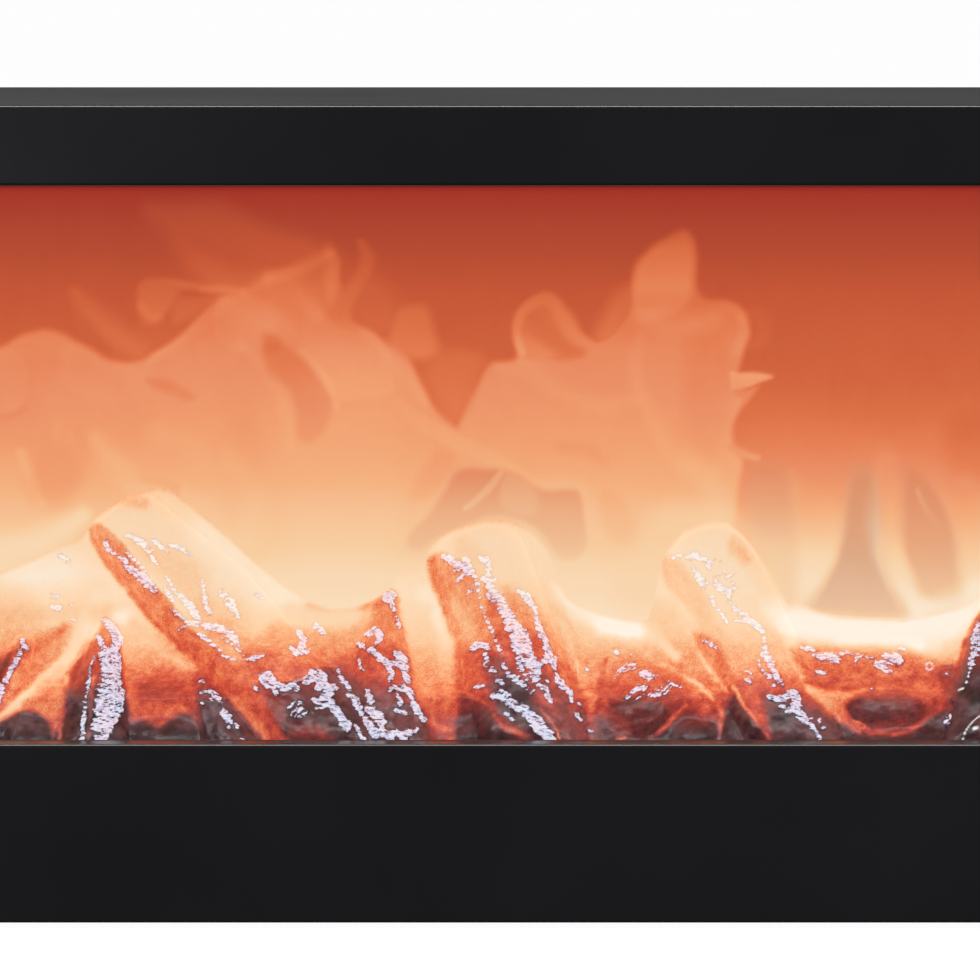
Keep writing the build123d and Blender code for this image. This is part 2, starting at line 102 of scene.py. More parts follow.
def curve(pts, closed=False, n=5):
    """Rounds a hand-drawn line: a Catmull-Rom curve through its points."""
    p = np.array(pts, float)
    if len(p) < 3:
        return p
    if closed:
        q = np.vstack([p[-1], p, p[0], p[1]])
    else:
        q = np.vstack([2 * p[0] - p[1], p, 2 * p[-1] - p[-2]])
    out = []
    for i in range(1, len(q) - 2):
        a, b, c, d = q[i - 1], q[i], q[i + 1], q[i + 2]
        for t in np.linspace(0, 1, n, endpoint=False):
            out.append(0.5 * (2 * b + (c - a) * t + (2 * a - 5 * b + 4 * c - d) * t * t + (3 * b - a - 3 * c + d) * t ** 3))
    if not closed:
        out.append(p[-1])
    return np.array(out)


def near(u, v, pts, pad):
    return (u > pts[:, 0].min() - pad) & (u < pts[:, 0].max() + pad) & (v > pts[:, 1].min() - pad) & (v < pts[:, 1].max() + pad)


def line_distance(u, v, pts):
    """Distance to a polyline, and how far along it the nearest point lies, 0 to 1."""
    best = np.full(u.shape, 1e9)
    along = np.zeros(u.shape)
    seg = np.hypot(*np.diff(pts, axis=0).T)
    run = np.concatenate([[0], np.cumsum(seg)])
    total = max(run[-1], 1e-9)
    for i in range(len(pts) - 1):
        a, b = pts[i], pts[i + 1]
        d = b - a
        m = max(d @ d, 1e-9)
        t = np.clip(((u - a[0]) * d[0] + (v - a[1]) * d[1]) / m, 0, 1)
        r = np.hypot(u - a[0] - t * d[0], v - a[1] - t * d[1])
        hit = r < best
        best = np.where(hit, r, best)
        along = np.where(hit, (run[i] + t * seg[i]) / total, along)
    return best, along


def inside(u, v, pts):
    odd = np.zeros(u.shape, bool)
    for i in range(len(pts)):
        (x0, y0), (x1, y1) = pts[i - 1], pts[i]
        if y0 == y1:
            continue
        cross = (y0 > v) != (y1 > v)
        odd ^= cross & (u < (x1 - x0) * (v - y0) / (y1 - y0) + x0)
    return odd


class Sheet:
    """One painted value per vertex. Strokes and areas are laid over each other in order."""

    def __init__(self, u, v, value):
        self.u, self.v, self.f = u, v, np.array(value, float)
        self.flicker = None

    def stroke(self, pts, width, value, soft=0.6, strength=1.0, mode="set"):
        p = curve(pts)
        w_max = np.max(width)
        m = near(self.u, self.v, p, w_max * (1 + soft) + 2)
        if not m.any():
            return self
        d, t = line_distance(self.u[m], self.v[m], p)
        w = np.interp(t, np.linspace(0, 1, np.size(width)), np.atleast_1d(width))
        val = np.interp(t, np.linspace(0, 1, np.size(value)), np.atleast_1d(value))
        k = smooth((w * (1 + soft) - d) / np.maximum(2 * soft * w, 1e-6)) * strength
        if self.flicker is not None and w_max < 6:
            k = smooth((0.72 * w * (1 + soft) - d) / np.maximum(1.44 * soft * w, 1e-6)) * strength * self.flicker[m]
        self._lay(m, k, val, mode)
        return self

    def area(self, pts, value, soft=8.0, strength=1.0, mode="set", rounded=True):
        p = curve(pts, closed=True) if rounded else np.array(pts, float)
        m = near(self.u, self.v, p, soft + 2)
        if not m.any():
            return self
        u, v = self.u[m], self.v[m]
        d, _ = line_distance(u, v, np.vstack([p, p[:1]]))
        d = np.where(inside(u, v, p), d, -d)
        k = smooth(0.5 + d / (2 * soft)) * strength
        val = np.interp(v, [q[0] for q in value], [q[1] for q in value]) if isinstance(value, list) else value
        self._lay(m, k, val, mode)
        return self

    def _lay(self, m, k, val, mode):
        if mode == "set":
            self.f[m] = self.f[m] * (1 - k) + val * k
        elif mode == "add":
            self.f[m] += val * k
        elif mode == "max":
            self.f[m] = np.maximum(self.f[m], val * k)


def lattice(u, v, cell, seed):
    """Smooth value noise, -1 to 1."""
    rng = np.random.default_rng(seed)
    table = rng.uniform(-1, 1, (256, 256))
    x, y = u / cell + 37.0, v / cell + 91.0
    ix, iy = np.floor(x).astype(int), np.floor(y).astype(int)
    fx, fy = x - ix, y - iy
    fx, fy = fx * fx * (3 - 2 * fx), fy * fy * (3 - 2 * fy)
    a = table[ix % 256, iy % 256]
    b = table[(ix + 1) % 256, iy % 256]
    c = table[ix % 256, (iy + 1) % 256]
    d = table[(ix + 1) % 256, (iy + 1) % 256]
    return (a * (1 - fx) + b * fx) * (1 - fy) + (c * (1 - fx) + d * fx) * fy


def fbm(u, v, cell, seed, octaves=4, gain=0.5):
    total, amp, norm = 0.0, 1.0, 0.0
    for k in range(octaves):
        total = total + amp * lattice(u, v, cell / 2 ** k, seed + k)
        norm += amp
        amp *= gain
    return total / norm


# tile coordinates of the enlarged ember drawings
def ta(pts):
    return [(x / 4.75, 470 + y / 4.75) for x, y in pts]


def tb(pts):
    return [(320 + x / 4.75, 470 + y / 4.75) for x, y in pts]


def tc(pts):
    return [(640 + x / 4.612, 470 + y / 4.612) for x, y in pts]


# ------------------------------------------------------------------ the flame drawing: brightness, 0 to 255
# the first four stops darken the film just under the top bezel: painted shade of the gap behind the bezel
V_STOPS = [183.5, 185, 186.3, 187.5, 192, 224, 256, 288, 320, 352, 384, 416, 448, 480, 512, 544, 576, 608, 660]
BACK = [14, 30, 52, 70, 85, 97, 105.7, 116, 122, 127, 132, 142, 155, 168, 186, 197, 218, 226, 226]
FLAME = [14, 30, 52, 70, 100, 112, 124, 139, 152, 166, 172, 178, 184, 192, 205, 214, 224, 228, 228]


def flame_light(u, v):
    wu = u + 3.0 * fbm(u, v, 46, 11, 3)
    wv = v + 3.0 * fbm(u, v, 46, 21, 3)
    s = Sheet(wu, wv, np.zeros(u.shape))
    # faint high veil and its curls
    s.area([(146, 206), (180, 204), (219, 199), (245, 214), (269, 227), (312, 239), (334, 250), (340, 262), (310, 275), (262, 288), (225, 292), (200, 278), (182, 258), (166, 236)], 0.62, 13)
    s.stroke([(150, 214), (190, 212), (235, 224), (290, 240), (330, 256)], [8, 14, 12, 6], 0.12, 0.9, mode="add")
    s.stroke([(196, 240), (240, 262), (290, 268)], [5, 9, 6], -0.15, 1.0, mode="add")
    # main left body
    s.area([(-190, 352), (-150, 330), (-110, 322), (-70, 338), (-30, 354), (0, 347), (19, 336), (41, 331), (60, 334), (74, 342), (87, 350), (109, 361), (134, 361), (153, 353), (169, 341), (187, 324), (204, 308), (219, 298), (237, 290), (250, 284), (262, 277), (280, 270), (310, 262), (330, 252), (338, 262), (340, 282), (346, 302), (352, 318), (372, 330), (387, 343), (403, 348), (411, 362), (422, 386), (437, 411), (459, 430), (487, 455), (520, 480), (540, 560), (540, 660), (-190, 660)], 0.93, 5)
    s.area([(-190, 350), (0, 350), (60, 352), (120, 372), (150, 420), (120, 450), (40, 455), (-190, 450)], 0.76, 16)
    s.area([(-20, 350), (8, 348), (22, 356), (28, 378), (24, 402), (10, 411), (-20, 413)], 0.10, 4, mode="add")
    s.stroke([(-8, 415), (10, 415), (24, 408)], [3, 4, 3], -0.12, 0.9, mode="add")
    s.area([(66, 348), (90, 352), (112, 364), (150, 366), (150, 392), (110, 404), (78, 396), (62, 372)], 0.07, 6, mode="add")
    s.stroke([(58, 424), (54, 448), (58, 472)], [4, 6, 5], 0.10, 0.8, mode="add")
    s.stroke([(78, 430), (84, 452), (80, 474)], [4, 6, 5], -0.10, 0.8, mode="add")
    s.stroke([(150, 360), (190, 330), (222, 306), (252, 288), (268, 282)], [5, 7, 7, 6, 5], 0.16, 0.9, mode="add")
    s.stroke([(262, 280), (290, 286), (306, 298), (318, 314)], [9, 12, 12, 8], 0.26, 0.9, mode="add")
    s.stroke([(268, 276), (290, 272), (312, 262), (330, 252)], [6, 7, 6, 5], 0.55, 0.9, mode="add")
    s.stroke([(329, 246), (333, 262), (330, 282), (334, 304)], [5, 7, 7, 5], 0.42, 0.8, mode="add")
    # pockets in the left body
    s.area([(262, 340), (266, 334), (276, 338), (306, 362), (328, 392), (331, 408), (322, 434), (308, 444), (298, 436), (296, 414), (288, 388), (266, 372)], 0.6, 6)
    s.stroke([(300, 350), (322, 378), (336, 408)], [3, 5, 3], 0.16, 0.8, mode="add")
    s.stroke([(240, 344), (268, 372), (284, 410), (290, 450)], [4, 6, 7, 5], 0.1, 0.9, mode="add")
    s.area([(147, 380), (166, 380), (182, 388), (196, 398), (188, 402), (172, 396), (156, 390)], 0.66, 5)
    s.area([(234, 424), (262, 428), (268, 452), (258, 486), (236, 520), (222, 512), (232, 470)], 0.86, 12)
    s.area([(40, 440), (66, 440), (84, 462), (80, 486), (60, 506), (34, 500), (26, 474)], [(440, 0.72), (470, 0.5), (490, 0.34), (505, 0.35)], 13)
    s.stroke([(20, 452), (30, 478), (44, 502)], [4, 6, 5], 0.3, 0.9, mode="add")
    s.stroke([(98, 440), (118, 466), (136, 486), (150, 494)], [8, 10, 10, 8], 0.3, 1.0, mode="add")
    # the curl, its dark gap, the small wisps at its left
    s.area([(148, 318), (166, 322), (184, 312), (200, 300), (206, 306), (192, 322), (176, 338), (158, 348), (140, 344), (134, 330)], 0.14, 5)
    s.stroke([(148, 300), (146, 290), (156, 284), (176, 283), (206, 287), (236, 291)], [6, 7, 6, 5, 6, 6], 0.74, 0.8)
    s.area([(232, 291), (252, 294), (268, 302), (278, 316), (279, 328), (270, 336), (262, 346), (236, 352), (216, 336), (214, 312)], 0.13, 4, mode="add")
    s.area([(262, 338), (272, 334), (282, 340), (278, 352), (266, 352)], -0.14, 5, mode="add")
    s.area([(139, 292), (150, 281), (166, 282), (180, 290), (176, 302), (166, 314), (154, 321), (143, 314), (137, 303)], 0.62, 5)
    s.stroke([(141, 306), (148, 317), (160, 318)], [5, 6, 5], 0.24, 0.9, mode="add")
    s.stroke([(203, 289), (222, 288), (242, 291)], [3, 4, 4], 0.3, 0.8, mode="add")
    s.area([(176, 300), (200, 296), (216, 300), (200, 312), (184, 322), (172, 322)], 0.45, 6)
    s.stroke([(74, 292), (84, 306), (98, 322), (116, 336), (140, 350)], [6, 11, 13, 12, 9], 0.4, 1.0)
    s.stroke([(84, 322), (96, 340), (108, 354)], [4, 6, 4], -0.10, 1.0, mode="add")
    # finger and the blob to its right
    s.stroke([(340, 312), (347, 298), (356, 284), (363, 272), (365, 258), (360, 244)], [11, 10, 9, 9, 8, 4], 0.74, 0.8)
    s.area([(262, 280), (294, 280), (308, 297), (344, 328), (372, 329), (388, 348), (392, 392), (360, 400), (332, 396), (300, 346), (280, 322)], 0.12, 4, mode="add")
    s.area([(306, 262), (338, 252), (342, 276), (344, 306), (352, 322), (330, 314), (312, 300), (300, 284)], 0.16, 8, mode="max")
    s.area([(398, 308), (412, 304), (426, 307), (434, 328), (439, 352), (424, 360), (404, 356), (388, 344), (392, 322)], 0.62, 8)
    s.stroke([(366, 330), (388, 350), (402, 372), (424, 402)], [6, 8, 8, 6], 0.12, 0.9, mode="add")
    s.stroke([(470, 368), (468, 392), (474, 420)], [5, 8, 6], 0.22, 1.0, mode="add")
    # right body
    s.area([(446, 470), (462, 420), (476, 388), (484, 372), (494, 362), (512, 359), (528, 352), (548, 354), (566, 350), (584, 345), (600, 342), (614, 332), (625, 318), (631, 304), (632, 283), (637, 264), (646, 253), (662, 242), (680, 233), (689, 232), (695, 243), (698, 261), (696, 283), (705, 298), (721, 300), (737, 305), (748, 318), (751, 333), (744, 352), (737, 374), (734, 392), (744, 400), (734, 419), (731, 434), (734, 449), (742, 462), (736, 500), (730, 560), (730, 660), (470, 660), (450, 520)], 0.9, 4.5)
    s.area([(440, 352), (470, 350), (486, 362), (474, 384), (464, 410), (452, 420), (436, 400), (424, 374)], 0.3, 12)
    s.area([(632, 300), (634, 270), (646, 252), (668, 238), (686, 232), (694, 250), (694, 282), (688, 304), (664, 318), (640, 318)], [(232, 1.6), (250, 2.1), (285, 1.85), (300, 1.4), (320, 1.2)], 7)
    s.stroke([(640, 318), (662, 322), (690, 326), (716, 318)], [8, 12, 12, 9], 0.25, 1.0, mode="add")
    s.stroke([(726, 306), (742, 318), (744, 334), (734, 352)], [5, 6, 6, 5], 0.16, 0.8, mode="add")
    s.area([(690, 340), (730, 350), (728, 420), (712, 460), (690, 440), (682, 390)], 0.74, 12)
    s.area([(728, 372), (740, 374), (757, 374), (773, 377), (762, 383), (750, 388), (734, 391), (728, 390)], [(372, 1.25), (392, 0.95)], 2.5, mode="max")
    s.area([(730, 388), (744, 390), (758, 388), (750, 400), (742, 408), (730, 418)], 0.62, 4, mode="max")
    s.stroke([(731, 448), (744, 454), (756, 458)], [4, 4, 3], 0.62, 0.8)
    # loop
    s.area([(519, 340), (516, 322), (527, 303), (541, 297), (554, 299), (566, 312), (583, 337), (584, 358), (550, 360), (524, 358)], 0.5, 5)
    s.stroke([(523, 352), (518, 334), (524, 312), (538, 301), (551, 302), (563, 316), (575, 336), (592, 346)], [4, 4, 5, 6, 7, 9, 8, 5], 0.9, 0.7)
    s.stroke([(530, 318), (548, 334), (572, 348)], [6, 9, 7], -0.10, 1.0, mode="add")
    s.area([(520, 336), (538, 342), (556, 354), (540, 362), (520, 360)], 0.3, 7, mode="add")
    s.stroke([(744, 318), (760, 316), (766, 328), (762, 340), (754, 346)], [6, 7, 8, 7, 4], 0.14, 1.0, mode="add")
    # streaks in the right body
    s.stroke([(500, 366), (530, 372), (560, 392), (600, 404), (640, 398)], [6, 8, 8, 7, 5], 0.1, 1.0, mode="add")
    s.stroke([(560, 448), (590, 450), (606, 462)], [6, 8, 5], -0.2, 1.0, mode="add")
    s.stroke([(640, 336), (636, 372), (650, 410), (668, 452)], [5, 7, 8, 8], 0.12, 1.0, mode="add")
    s.stroke([(690, 466), (712, 488), (716, 522)], [12, 14, 12], 0.26, 1.0, mode="add")
    # soft fills between the shapes
    s.area([(214, 286), (244, 284), (268, 296), (286, 318), (280, 336), (250, 330), (222, 314)], 0.35, 16, mode="add")
    s.area([(334, 252), (352, 262), (378, 276), (398, 300), (396, 330), (366, 334), (344, 310)], 0.34, 15, mode="max")
    s.area([(596, 338), (608, 306), (624, 286), (640, 290), (640, 330), (616, 344)], 0.62, 11, mode="max")
    s.area([(300, 380), (370, 360), (400, 400), (400, 500), (380, 600), (300, 600), (280, 480)], 0.14, 30, mode="add")
    s.area([(40, 380), (110, 376), (140, 410), (120, 440), (60, 440)], 0.1, 18, mode="add")
    s.area([(520, 490), (590, 488), (590, 560), (540, 560)], 0.3, 12, mode="add")
    s.stroke([(230, 460), (250, 500), (240, 560)], [10, 16, 20], 0.16, 1.0, mode="add")
    s.stroke([(150, 430), (190, 450), (216, 500)], [8, 14, 12], 0.12, 1.0, mode="add")
    # tail from the left body into the right one
    s.stroke([(398, 404), (420, 424), (444, 436), (470, 449), (492, 460), (514, 473), (540, 488)], [5, 8, 9, 8, 8, 7, 4], 1.08, 0.5)
    s.area([(440, 452), (456, 460), (448, 478), (428, 498), (412, 500), (420, 474)], 0.68, 7)
    # tan facets under the tail, with a bright sliver
    s.area([(408, 536), (427, 516), (441, 495), (458, 472), (486, 470), (505, 471), (539, 490), (576, 491), (584, 516), (588, 548), (562, 560), (533, 527), (498, 516), (464, 525), (436, 539), (418, 551), (409, 547)], [(480, 0.0), (500, 0.12), (520, 0.2), (550, 0.25)], 4.5)
    s.area([(506, 472), (534, 489), (536, 512), (520, 516), (500, 506)], 0.55, 5)
    s.stroke([(502, 470), (492, 484), (480, 497), (464, 509)], [3, 4, 4, 2.5], 0.75, 0.6)
    s.area([(586, 490), (602, 490), (600, 552), (588, 560)], 0.95, 5)
    s.area([(600, 494), (622, 500), (640, 540), (622, 548), (604, 532)], 0.62, 7)
    # columns of the right-hand side
    s.stroke([(790, 478), (800, 505), (806, 532), (802, 562)], [8, 10, 12, 12], [0.2, 0.35, 0.6, 0.8], 0.8, mode="max")
    s.stroke([(886, 452), (884, 490), (884, 524), (892, 556), (906, 588)], [10, 10, 10, 10, 12], [0.1, 0.45, 0.7, 0.8, 0.9], 0.8, mode="max")
    s.stroke([(975, 470), (978, 510), (982, 560)], [14, 14, 12], [0.0, 0.3, 0.7], 0.8, mode="max")
    # flames beyond both ends of the view
    s.area([(1000, 640), (1006, 520), (1020, 440), (1044, 390), (1060, 330), (1084, 300), (1098, 330), (1092, 380), (1112, 420), (1150, 440), (1190, 430), (1190, 640)], 0.85, 8)
    s.stroke([(-150, 320), (-120, 280), (-96, 250), (-104, 226)], [14, 12, 8, 4], 0.7, 0.8)
    f = s.f + 0.05 * fbm(u, v, 30, 5, 4) + 0.03 * fbm(u * 1.6, v * 0.5, 12, 8, 3)
    back, body = np.interp(v, V_STOPS, BACK), np.interp(v, V_STOPS, FLAME)
    light = back + f * (body - back)
    # low down the glow of the bed takes over: drawn directly
    low = Sheet(wu, wv, light)
    low.stroke([(-60, 566), (-20, 556), (30, 544), (60, 530), (84, 516)], [16, 16, 15, 13, 8], 226, 1.0, strength=0.8)
    low.area([(748, 396), (800, 410), (900, 430), (940, 420), (940, 500), (900, 500), (760, 500)], 2, 24, mode="add")
    low.area([(950, 424), (1010, 418), (1010, 480), (956, 486)], -8, 16, mode="add")
    low.area([(752, 470), (780, 470), (793, 500), (796, 560), (790, 606), (770, 560), (752, 540)], [(470, 164), (500, 180), (530, 198), (560, 217), (600, 221)], 8)
    low.area([(798, 500), (812, 490), (836, 498), (844, 520), (838, 556), (826, 578), (808, 600), (794, 604), (797, 560)], [(490, 178), (510, 191), (530, 205), (555, 222), (580, 229), (600, 231)], 10)
    low.area([(853, 478), (866, 474), (876, 496), (877, 550), (888, 584), (906, 612), (870, 616), (836, 613), (812, 608), (826, 582), (840, 556), (847, 520)], [(470, 164), (490, 167), (520, 174), (556, 183), (590, 196), (612, 203)], 5)
    low.area([(908, 470), (928, 484), (948, 520), (958, 560), (960, 596), (936, 600), (916, 584), (907, 550), (904, 505)], [(470, 160), (500, 167), (540, 181), (560, 189), (590, 204)], 6)
    low.stroke([(889, 462), (884, 486), (881, 520), (890, 556), (906, 590), (920, 612)], [8, 11, 12, 12, 11, 10], [168, 180, 196, 216, 228, 236], 0.9)
    low.stroke([(916, 490), (921, 504), (932, 520), (950, 534)], [2, 3, 3, 2], 178, 0.9)
    low.stroke([(966, 490), (970, 550), (974, 590)], [12, 12, 12], [172, 204, 232], 0.9)
    low.stroke([(930, 606), (956, 600), (980, 592)], [8, 10, 12], 234, 0.9)
    low.area([(104, 474), (136, 470), (172, 476), (210, 502), (240, 536), (262, 556), (250, 566), (210, 540), (170, 500), (130, 486)], [(470, 192), (500, 207), (540, 214)], 9, strength=0.7)
    low.stroke([(144, 478), (160, 480), (176, 488)], [4, 5, 4], 190, 0.8)
    low.area([(660, 510), (700, 508), (740, 520), (770, 560), (800, 606), (640, 612), (610, 580), (640, 540)], 219, 16, strength=0.6)
    return low.f


# ------------------------------------------------------------------ the ember drawing
TOP_EDGE = [(-190, 602), (-120, 590), (-60, 575), (0, 572), (30, 560), (60, 545), (80, 539), (87, 529), (92, 520), (100, 513), (118, 500), (135, 492), (150, 488), (162, 487), (177, 493), (202, 514), (231, 538), (252, 558), (284, 584), (310, 600), (330, 607), (353, 606), (372, 598), (385, 590), (398, 574), (412, 569), (424, 566), (428, 550), (440, 535), (455, 528), (484, 519), (510, 520), (532, 530), (548, 550), (558, 575), (566, 596), (580, 604), (602, 612), (625, 618), (647, 618), (655, 596), (659, 566), (666, 550), (683, 530), (705, 521), (726, 519), (742, 531), (757, 550), (774, 578), (788, 604), (800, 602), (813, 608), (838, 615), (867, 616), (903, 618), (930, 613), (955, 607), (973, 600), (985, 584), (1000, 572), (1020, 566), (1040, 575), (1060, 600), (1090, 612), (1140, 606), (1190, 600)]


def ember_light(u, v, edge):
    """Brightness, coal greyness, ash paint distance and painted highlights of the bed at each sheet point."""
    wu = u + 1.8 * fbm(u, v, 14, 31, 3) + 1.1 * fbm(u, v, 5, 35, 2)
    wv = v + 1.8 * fbm(u, v, 14, 41, 3) + 1.1 * fbm(u, v, 5, 45, 2)
    base = np.interp(v + 7 * fbm(u, v, 60, 77, 3), [520, 560, 600, 612, 626, 640, 654, 668, 682, 696, 710, 724, 738, 752], [222, 227, 229, 224, 216, 203, 184, 163, 142, 127, 112, 96, 78, 66])
    s = Sheet(wu, wv, base)
    s.flicker = np.clip(0.74 + 0.95 * fbm(u, v, 8, 66, 3), 0.15, 1.0)
    A, S = s.area, s.stroke
    # hill at the left
    A(ta([(-500, 460), (0, 500), (150, 420), (300, 350), (420, 300), (470, 420), (500, 560), (470, 640), (380, 700), (300, 700), (150, 720), (0, 740), (-500, 760)]), [(540, 224), (575, 230), (600, 221), (620, 209)], 8)
    S(ta([(90, 560), (180, 500), (280, 480)]), [26, 30, 20], 9, 1.0, mode="add")
    # left red patch, log piece and glowing beam
    A(ta([(-200, 1000), (60, 900), (150, 850), (230, 790), (310, 735), (335, 760), (270, 850), (150, 950), (60, 1060), (-40, 1130), (-200, 1200)]), 176, 7)
    S(ta([(130, 850), (220, 800), (300, 750)]), [6, 7, 4], -26, 0.9, mode="add")
    A(ta([(-300, 1000), (0, 880), (60, 850), (105, 805), (135, 840), (100, 905), (50, 990), (0, 1090), (-300, 1300)]), 122, 4)
    A(ta([(-300, 1040), (0, 905), (40, 880), (52, 905), (20, 980), (-30, 1050), (-300, 1250)]), 78, 4)
    S(ta([(-220, 1300), (-60, 1240), (20, 1168), (90, 1108), (190, 1020), (280, 935), (340, 865), (390, 780), (430, 690), (470, 600)]), [9, 9, 8, 7, 7, 7.5, 7, 7, 8, 9], [150, 190, 226, 230, 228, 224, 223, 225, 226, 228], 0.7)
    S(ta([(150, 1120), (220, 1040), (290, 960)]), [8, 8, 6], 196, 0.9)
    A(ta([(110, 1140), (180, 1080), (250, 1030), (300, 1000), (296, 1100), (282, 1240), (258, 1260), (230, 1190)]), 172, 6)
    A(ta([(-300, 1260), (-60, 1250), (0, 1190), (60, 1165), (130, 1148), (200, 1165), (238, 1215), (256, 1310), (-300, 1340)]), [(710, 78), (722, 74), (742, 66)], 3.5)
    S(ta([(150, 1146), (205, 1160), (245, 1215), (262, 1300)]), [2.6, 3, 3, 3], [140, 160, 140, 120], 0.9)
    S(ta([(60, 1230), (120, 1200), (160, 1250)]), [5, 6, 5], 14, 1.0, mode="add")
    # lit hollow between the two left logs
    A(ta([(430, 700), (520, 640), (620, 690), (700, 760), (830, 870), (950, 960), (940, 1010), (800, 1020), (640, 980), (560, 900), (480, 830), (440, 780)]), [(620, 224), (634, 212), (648, 204), (662, 186), (676, 160), (684, 140)], 8)
    S(ta([(560, 700), (605, 698), (650, 725)]), [6, 7, 5], 240, 1.0)
    S(ta([(640, 730), (700, 790), (790, 870), (880, 930)]), [7, 7, 6, 5], 212, 0.9)
    A(ta([(600, 990), (660, 960), (760, 950), (930, 990), (950, 1100), (960, 1320), (600, 1320)]), [(672, 150), (684, 132), (700, 126), (716, 118)], 8)
    A(ta([(650, 1010), (720, 1000), (770, 1030), (760, 1080), (690, 1090), (650, 1060)]), 110, 5)
    S(ta([(620, 1060), (640, 1130), (700, 1165)]), [5, 6, 5], 146, 0.9)
    S(ta([(720, 1130), (790, 1150), (850, 1130), (880, 1150)]), [5, 5, 6, 4], 150, 0.9)
    S(ta([(905, 1070), (925, 1150), (945, 1230)]), [4, 4, 4], 136, 0.9)
    # log 6, upright at the left
    A(ta([(486, 712), (458, 780), (412, 850), (350, 910), (316, 990), (302, 1090), (288, 1200), (272, 1320), (600, 1320), (604, 1150), (592, 1000), (582, 860), (562, 760), (520, 712)]), [(620, 178), (636, 152), (650, 124), (668, 104), (690, 88), (715, 76), (742, 64)], 3)
    S(ta([(452, 900), (444, 1000), (432, 1120), (418, 1300)]), [2.2, 2.6, 2.6, 2.2], [160, 158, 140, 110], 0.6)
    S(ta([(280, 1310), (296, 1180), (306, 1060), (320, 980), (352, 902), (410, 838)]), [2.6, 2.8, 2.8, 2.8, 3, 3], [160, 190, 196, 200, 200, 190], 0.9)
    # log 1: cream upper face, salmon lower flank, orange toe
    A(ta([(414, 285), (440, 235), (490, 205), (560, 140), (640, 100), (760, 80), (850, 112), (960, 205), (1100, 335), (1200, 420), (1350, 545), (1568, 660), (1568, 800), (1480, 760), (1380, 740), (1280, 760), (1220, 800), (1160, 830), (1050, 850), (960, 960), (850, 850), (700, 700), (560, 530), (470, 400)]), [(490, 214), (520, 224), (560, 227), (600, 229), (630, 215), (650, 185)], 5)
    A(ta([(600, 330), (760, 360), (900, 420), (980, 500), (1000, 640), (960, 700), (860, 600), (760, 500), (660, 420)]), 213, 10)
    S(ta([(560, 140), (620, 140), (690, 158)]), [5, 6, 5], 201, 1.0)
    S(ta([(700, 60), (770, 52), (840, 90), (870, 130)]), [4, 5, 5, 4], 192, 1.0)
    S(ta([(980, 300), (1150, 440), (1300, 560), (1450, 650)]), [16, 18, 18, 14], 7, 1.0, mode="add")
    A(ta([(1140, 830), (1230, 790), (1290, 735), (1380, 730), (1480, 760), (1568, 780), (1700, 770), (1700, 960), (1560, 930), (1480, 950), (1440, 990), (1330, 1000), (1270, 980), (1200, 1040), (1150, 960)]), [(628, 196), (640, 184), (655, 164), (670, 148)], 7)
    A(ta([(416, 292), (440, 262), (496, 266), (556, 324), (612, 388), (704, 520), (800, 614), (872, 722), (960, 800), (1080, 900), (1180, 1010), (1260, 1130), (1340, 1250), (1400, 1320), (1280, 1320), (1190, 1210), (1090, 1095), (960, 962), (850, 852), (700, 702), (560, 532), (470, 402)]), [(528, 184), (545, 171), (575, 163), (610, 157), (650, 150), (680, 140), (710, 136), (742, 132)], 2.6)
    S(ta([(430, 300), (500, 420), (600, 560), (740, 720), (880, 860), (1000, 980), (1110, 1090)]), [2.5, 3, 3.5, 3.5, 3.5, 3, 3], -12, 0.9, mode="add")
    S(ta([(620, 470), (720, 590), (840, 730), (960, 850), (1080, 950)]), [2.2, 3, 3.5, 3.5, 3], 9, 0.9, mode="add")
    S(ta([(1080, 1075), (1150, 1150), (1220, 1230), (1290, 1310)]), [4, 6, 7, 7], [150, 172, 180, 170], 0.9)
    S(ta([(1250, 1270), (1275, 1300)]), [2, 3], 212, 0.9)
    # toe of log 1 and foot of log 2: charred
    A(ta([(1215, 1040), (1265, 985), (1340, 1000), (1440, 985), (1490, 940), (1580, 925), (1700, 960), (1760, 1100), (1900, 1200), (1960, 1320), (1320, 1320), (1300, 1260), (1250, 1180), (1225, 1110)]), [(668, 104), (690, 96), (710, 92), (730, 84), (742, 76)], 4)
    A(ta([(1210, 1060), (1260, 1080), (1290, 1180), (1340, 1250), (1390, 1320), (1300, 1320), (1260, 1220), (1215, 1130)]), 130, 5)
    S(ta([(1320, 1003), (1400, 996), (1445, 985), (1485, 945), (1530, 930), (1600, 928)]), [1.3, 1.4, 1.4, 1.4, 1.3, 1.2], 158, 0.7)
    A(ta([(1380, 1230), (1480, 1200), (1568, 1210), (1640, 1240), (1600, 1290), (1420, 1290)]), 104, 6)
    S(ta([(1440, 1240), (1500, 1225), (1540, 1260)]), [3, 3.5, 3], 128, 0.9)
    # log 7
    A(ta([(925, 975), (965, 958), (1010, 1005), (1100, 1100), (1195, 1215), (1250, 1320), (962, 1320), (946, 1150), (930, 1050)]), [(672, 128), (690, 104), (705, 92), (725, 84), (742, 76)], 3)
    A(ta([(604, 1210), (700, 1192), (762, 1222), (830, 1180), (905, 1160), (945, 1235), (962, 1320), (600, 1320)]), [(715, 84), (742, 66)], 3.5)
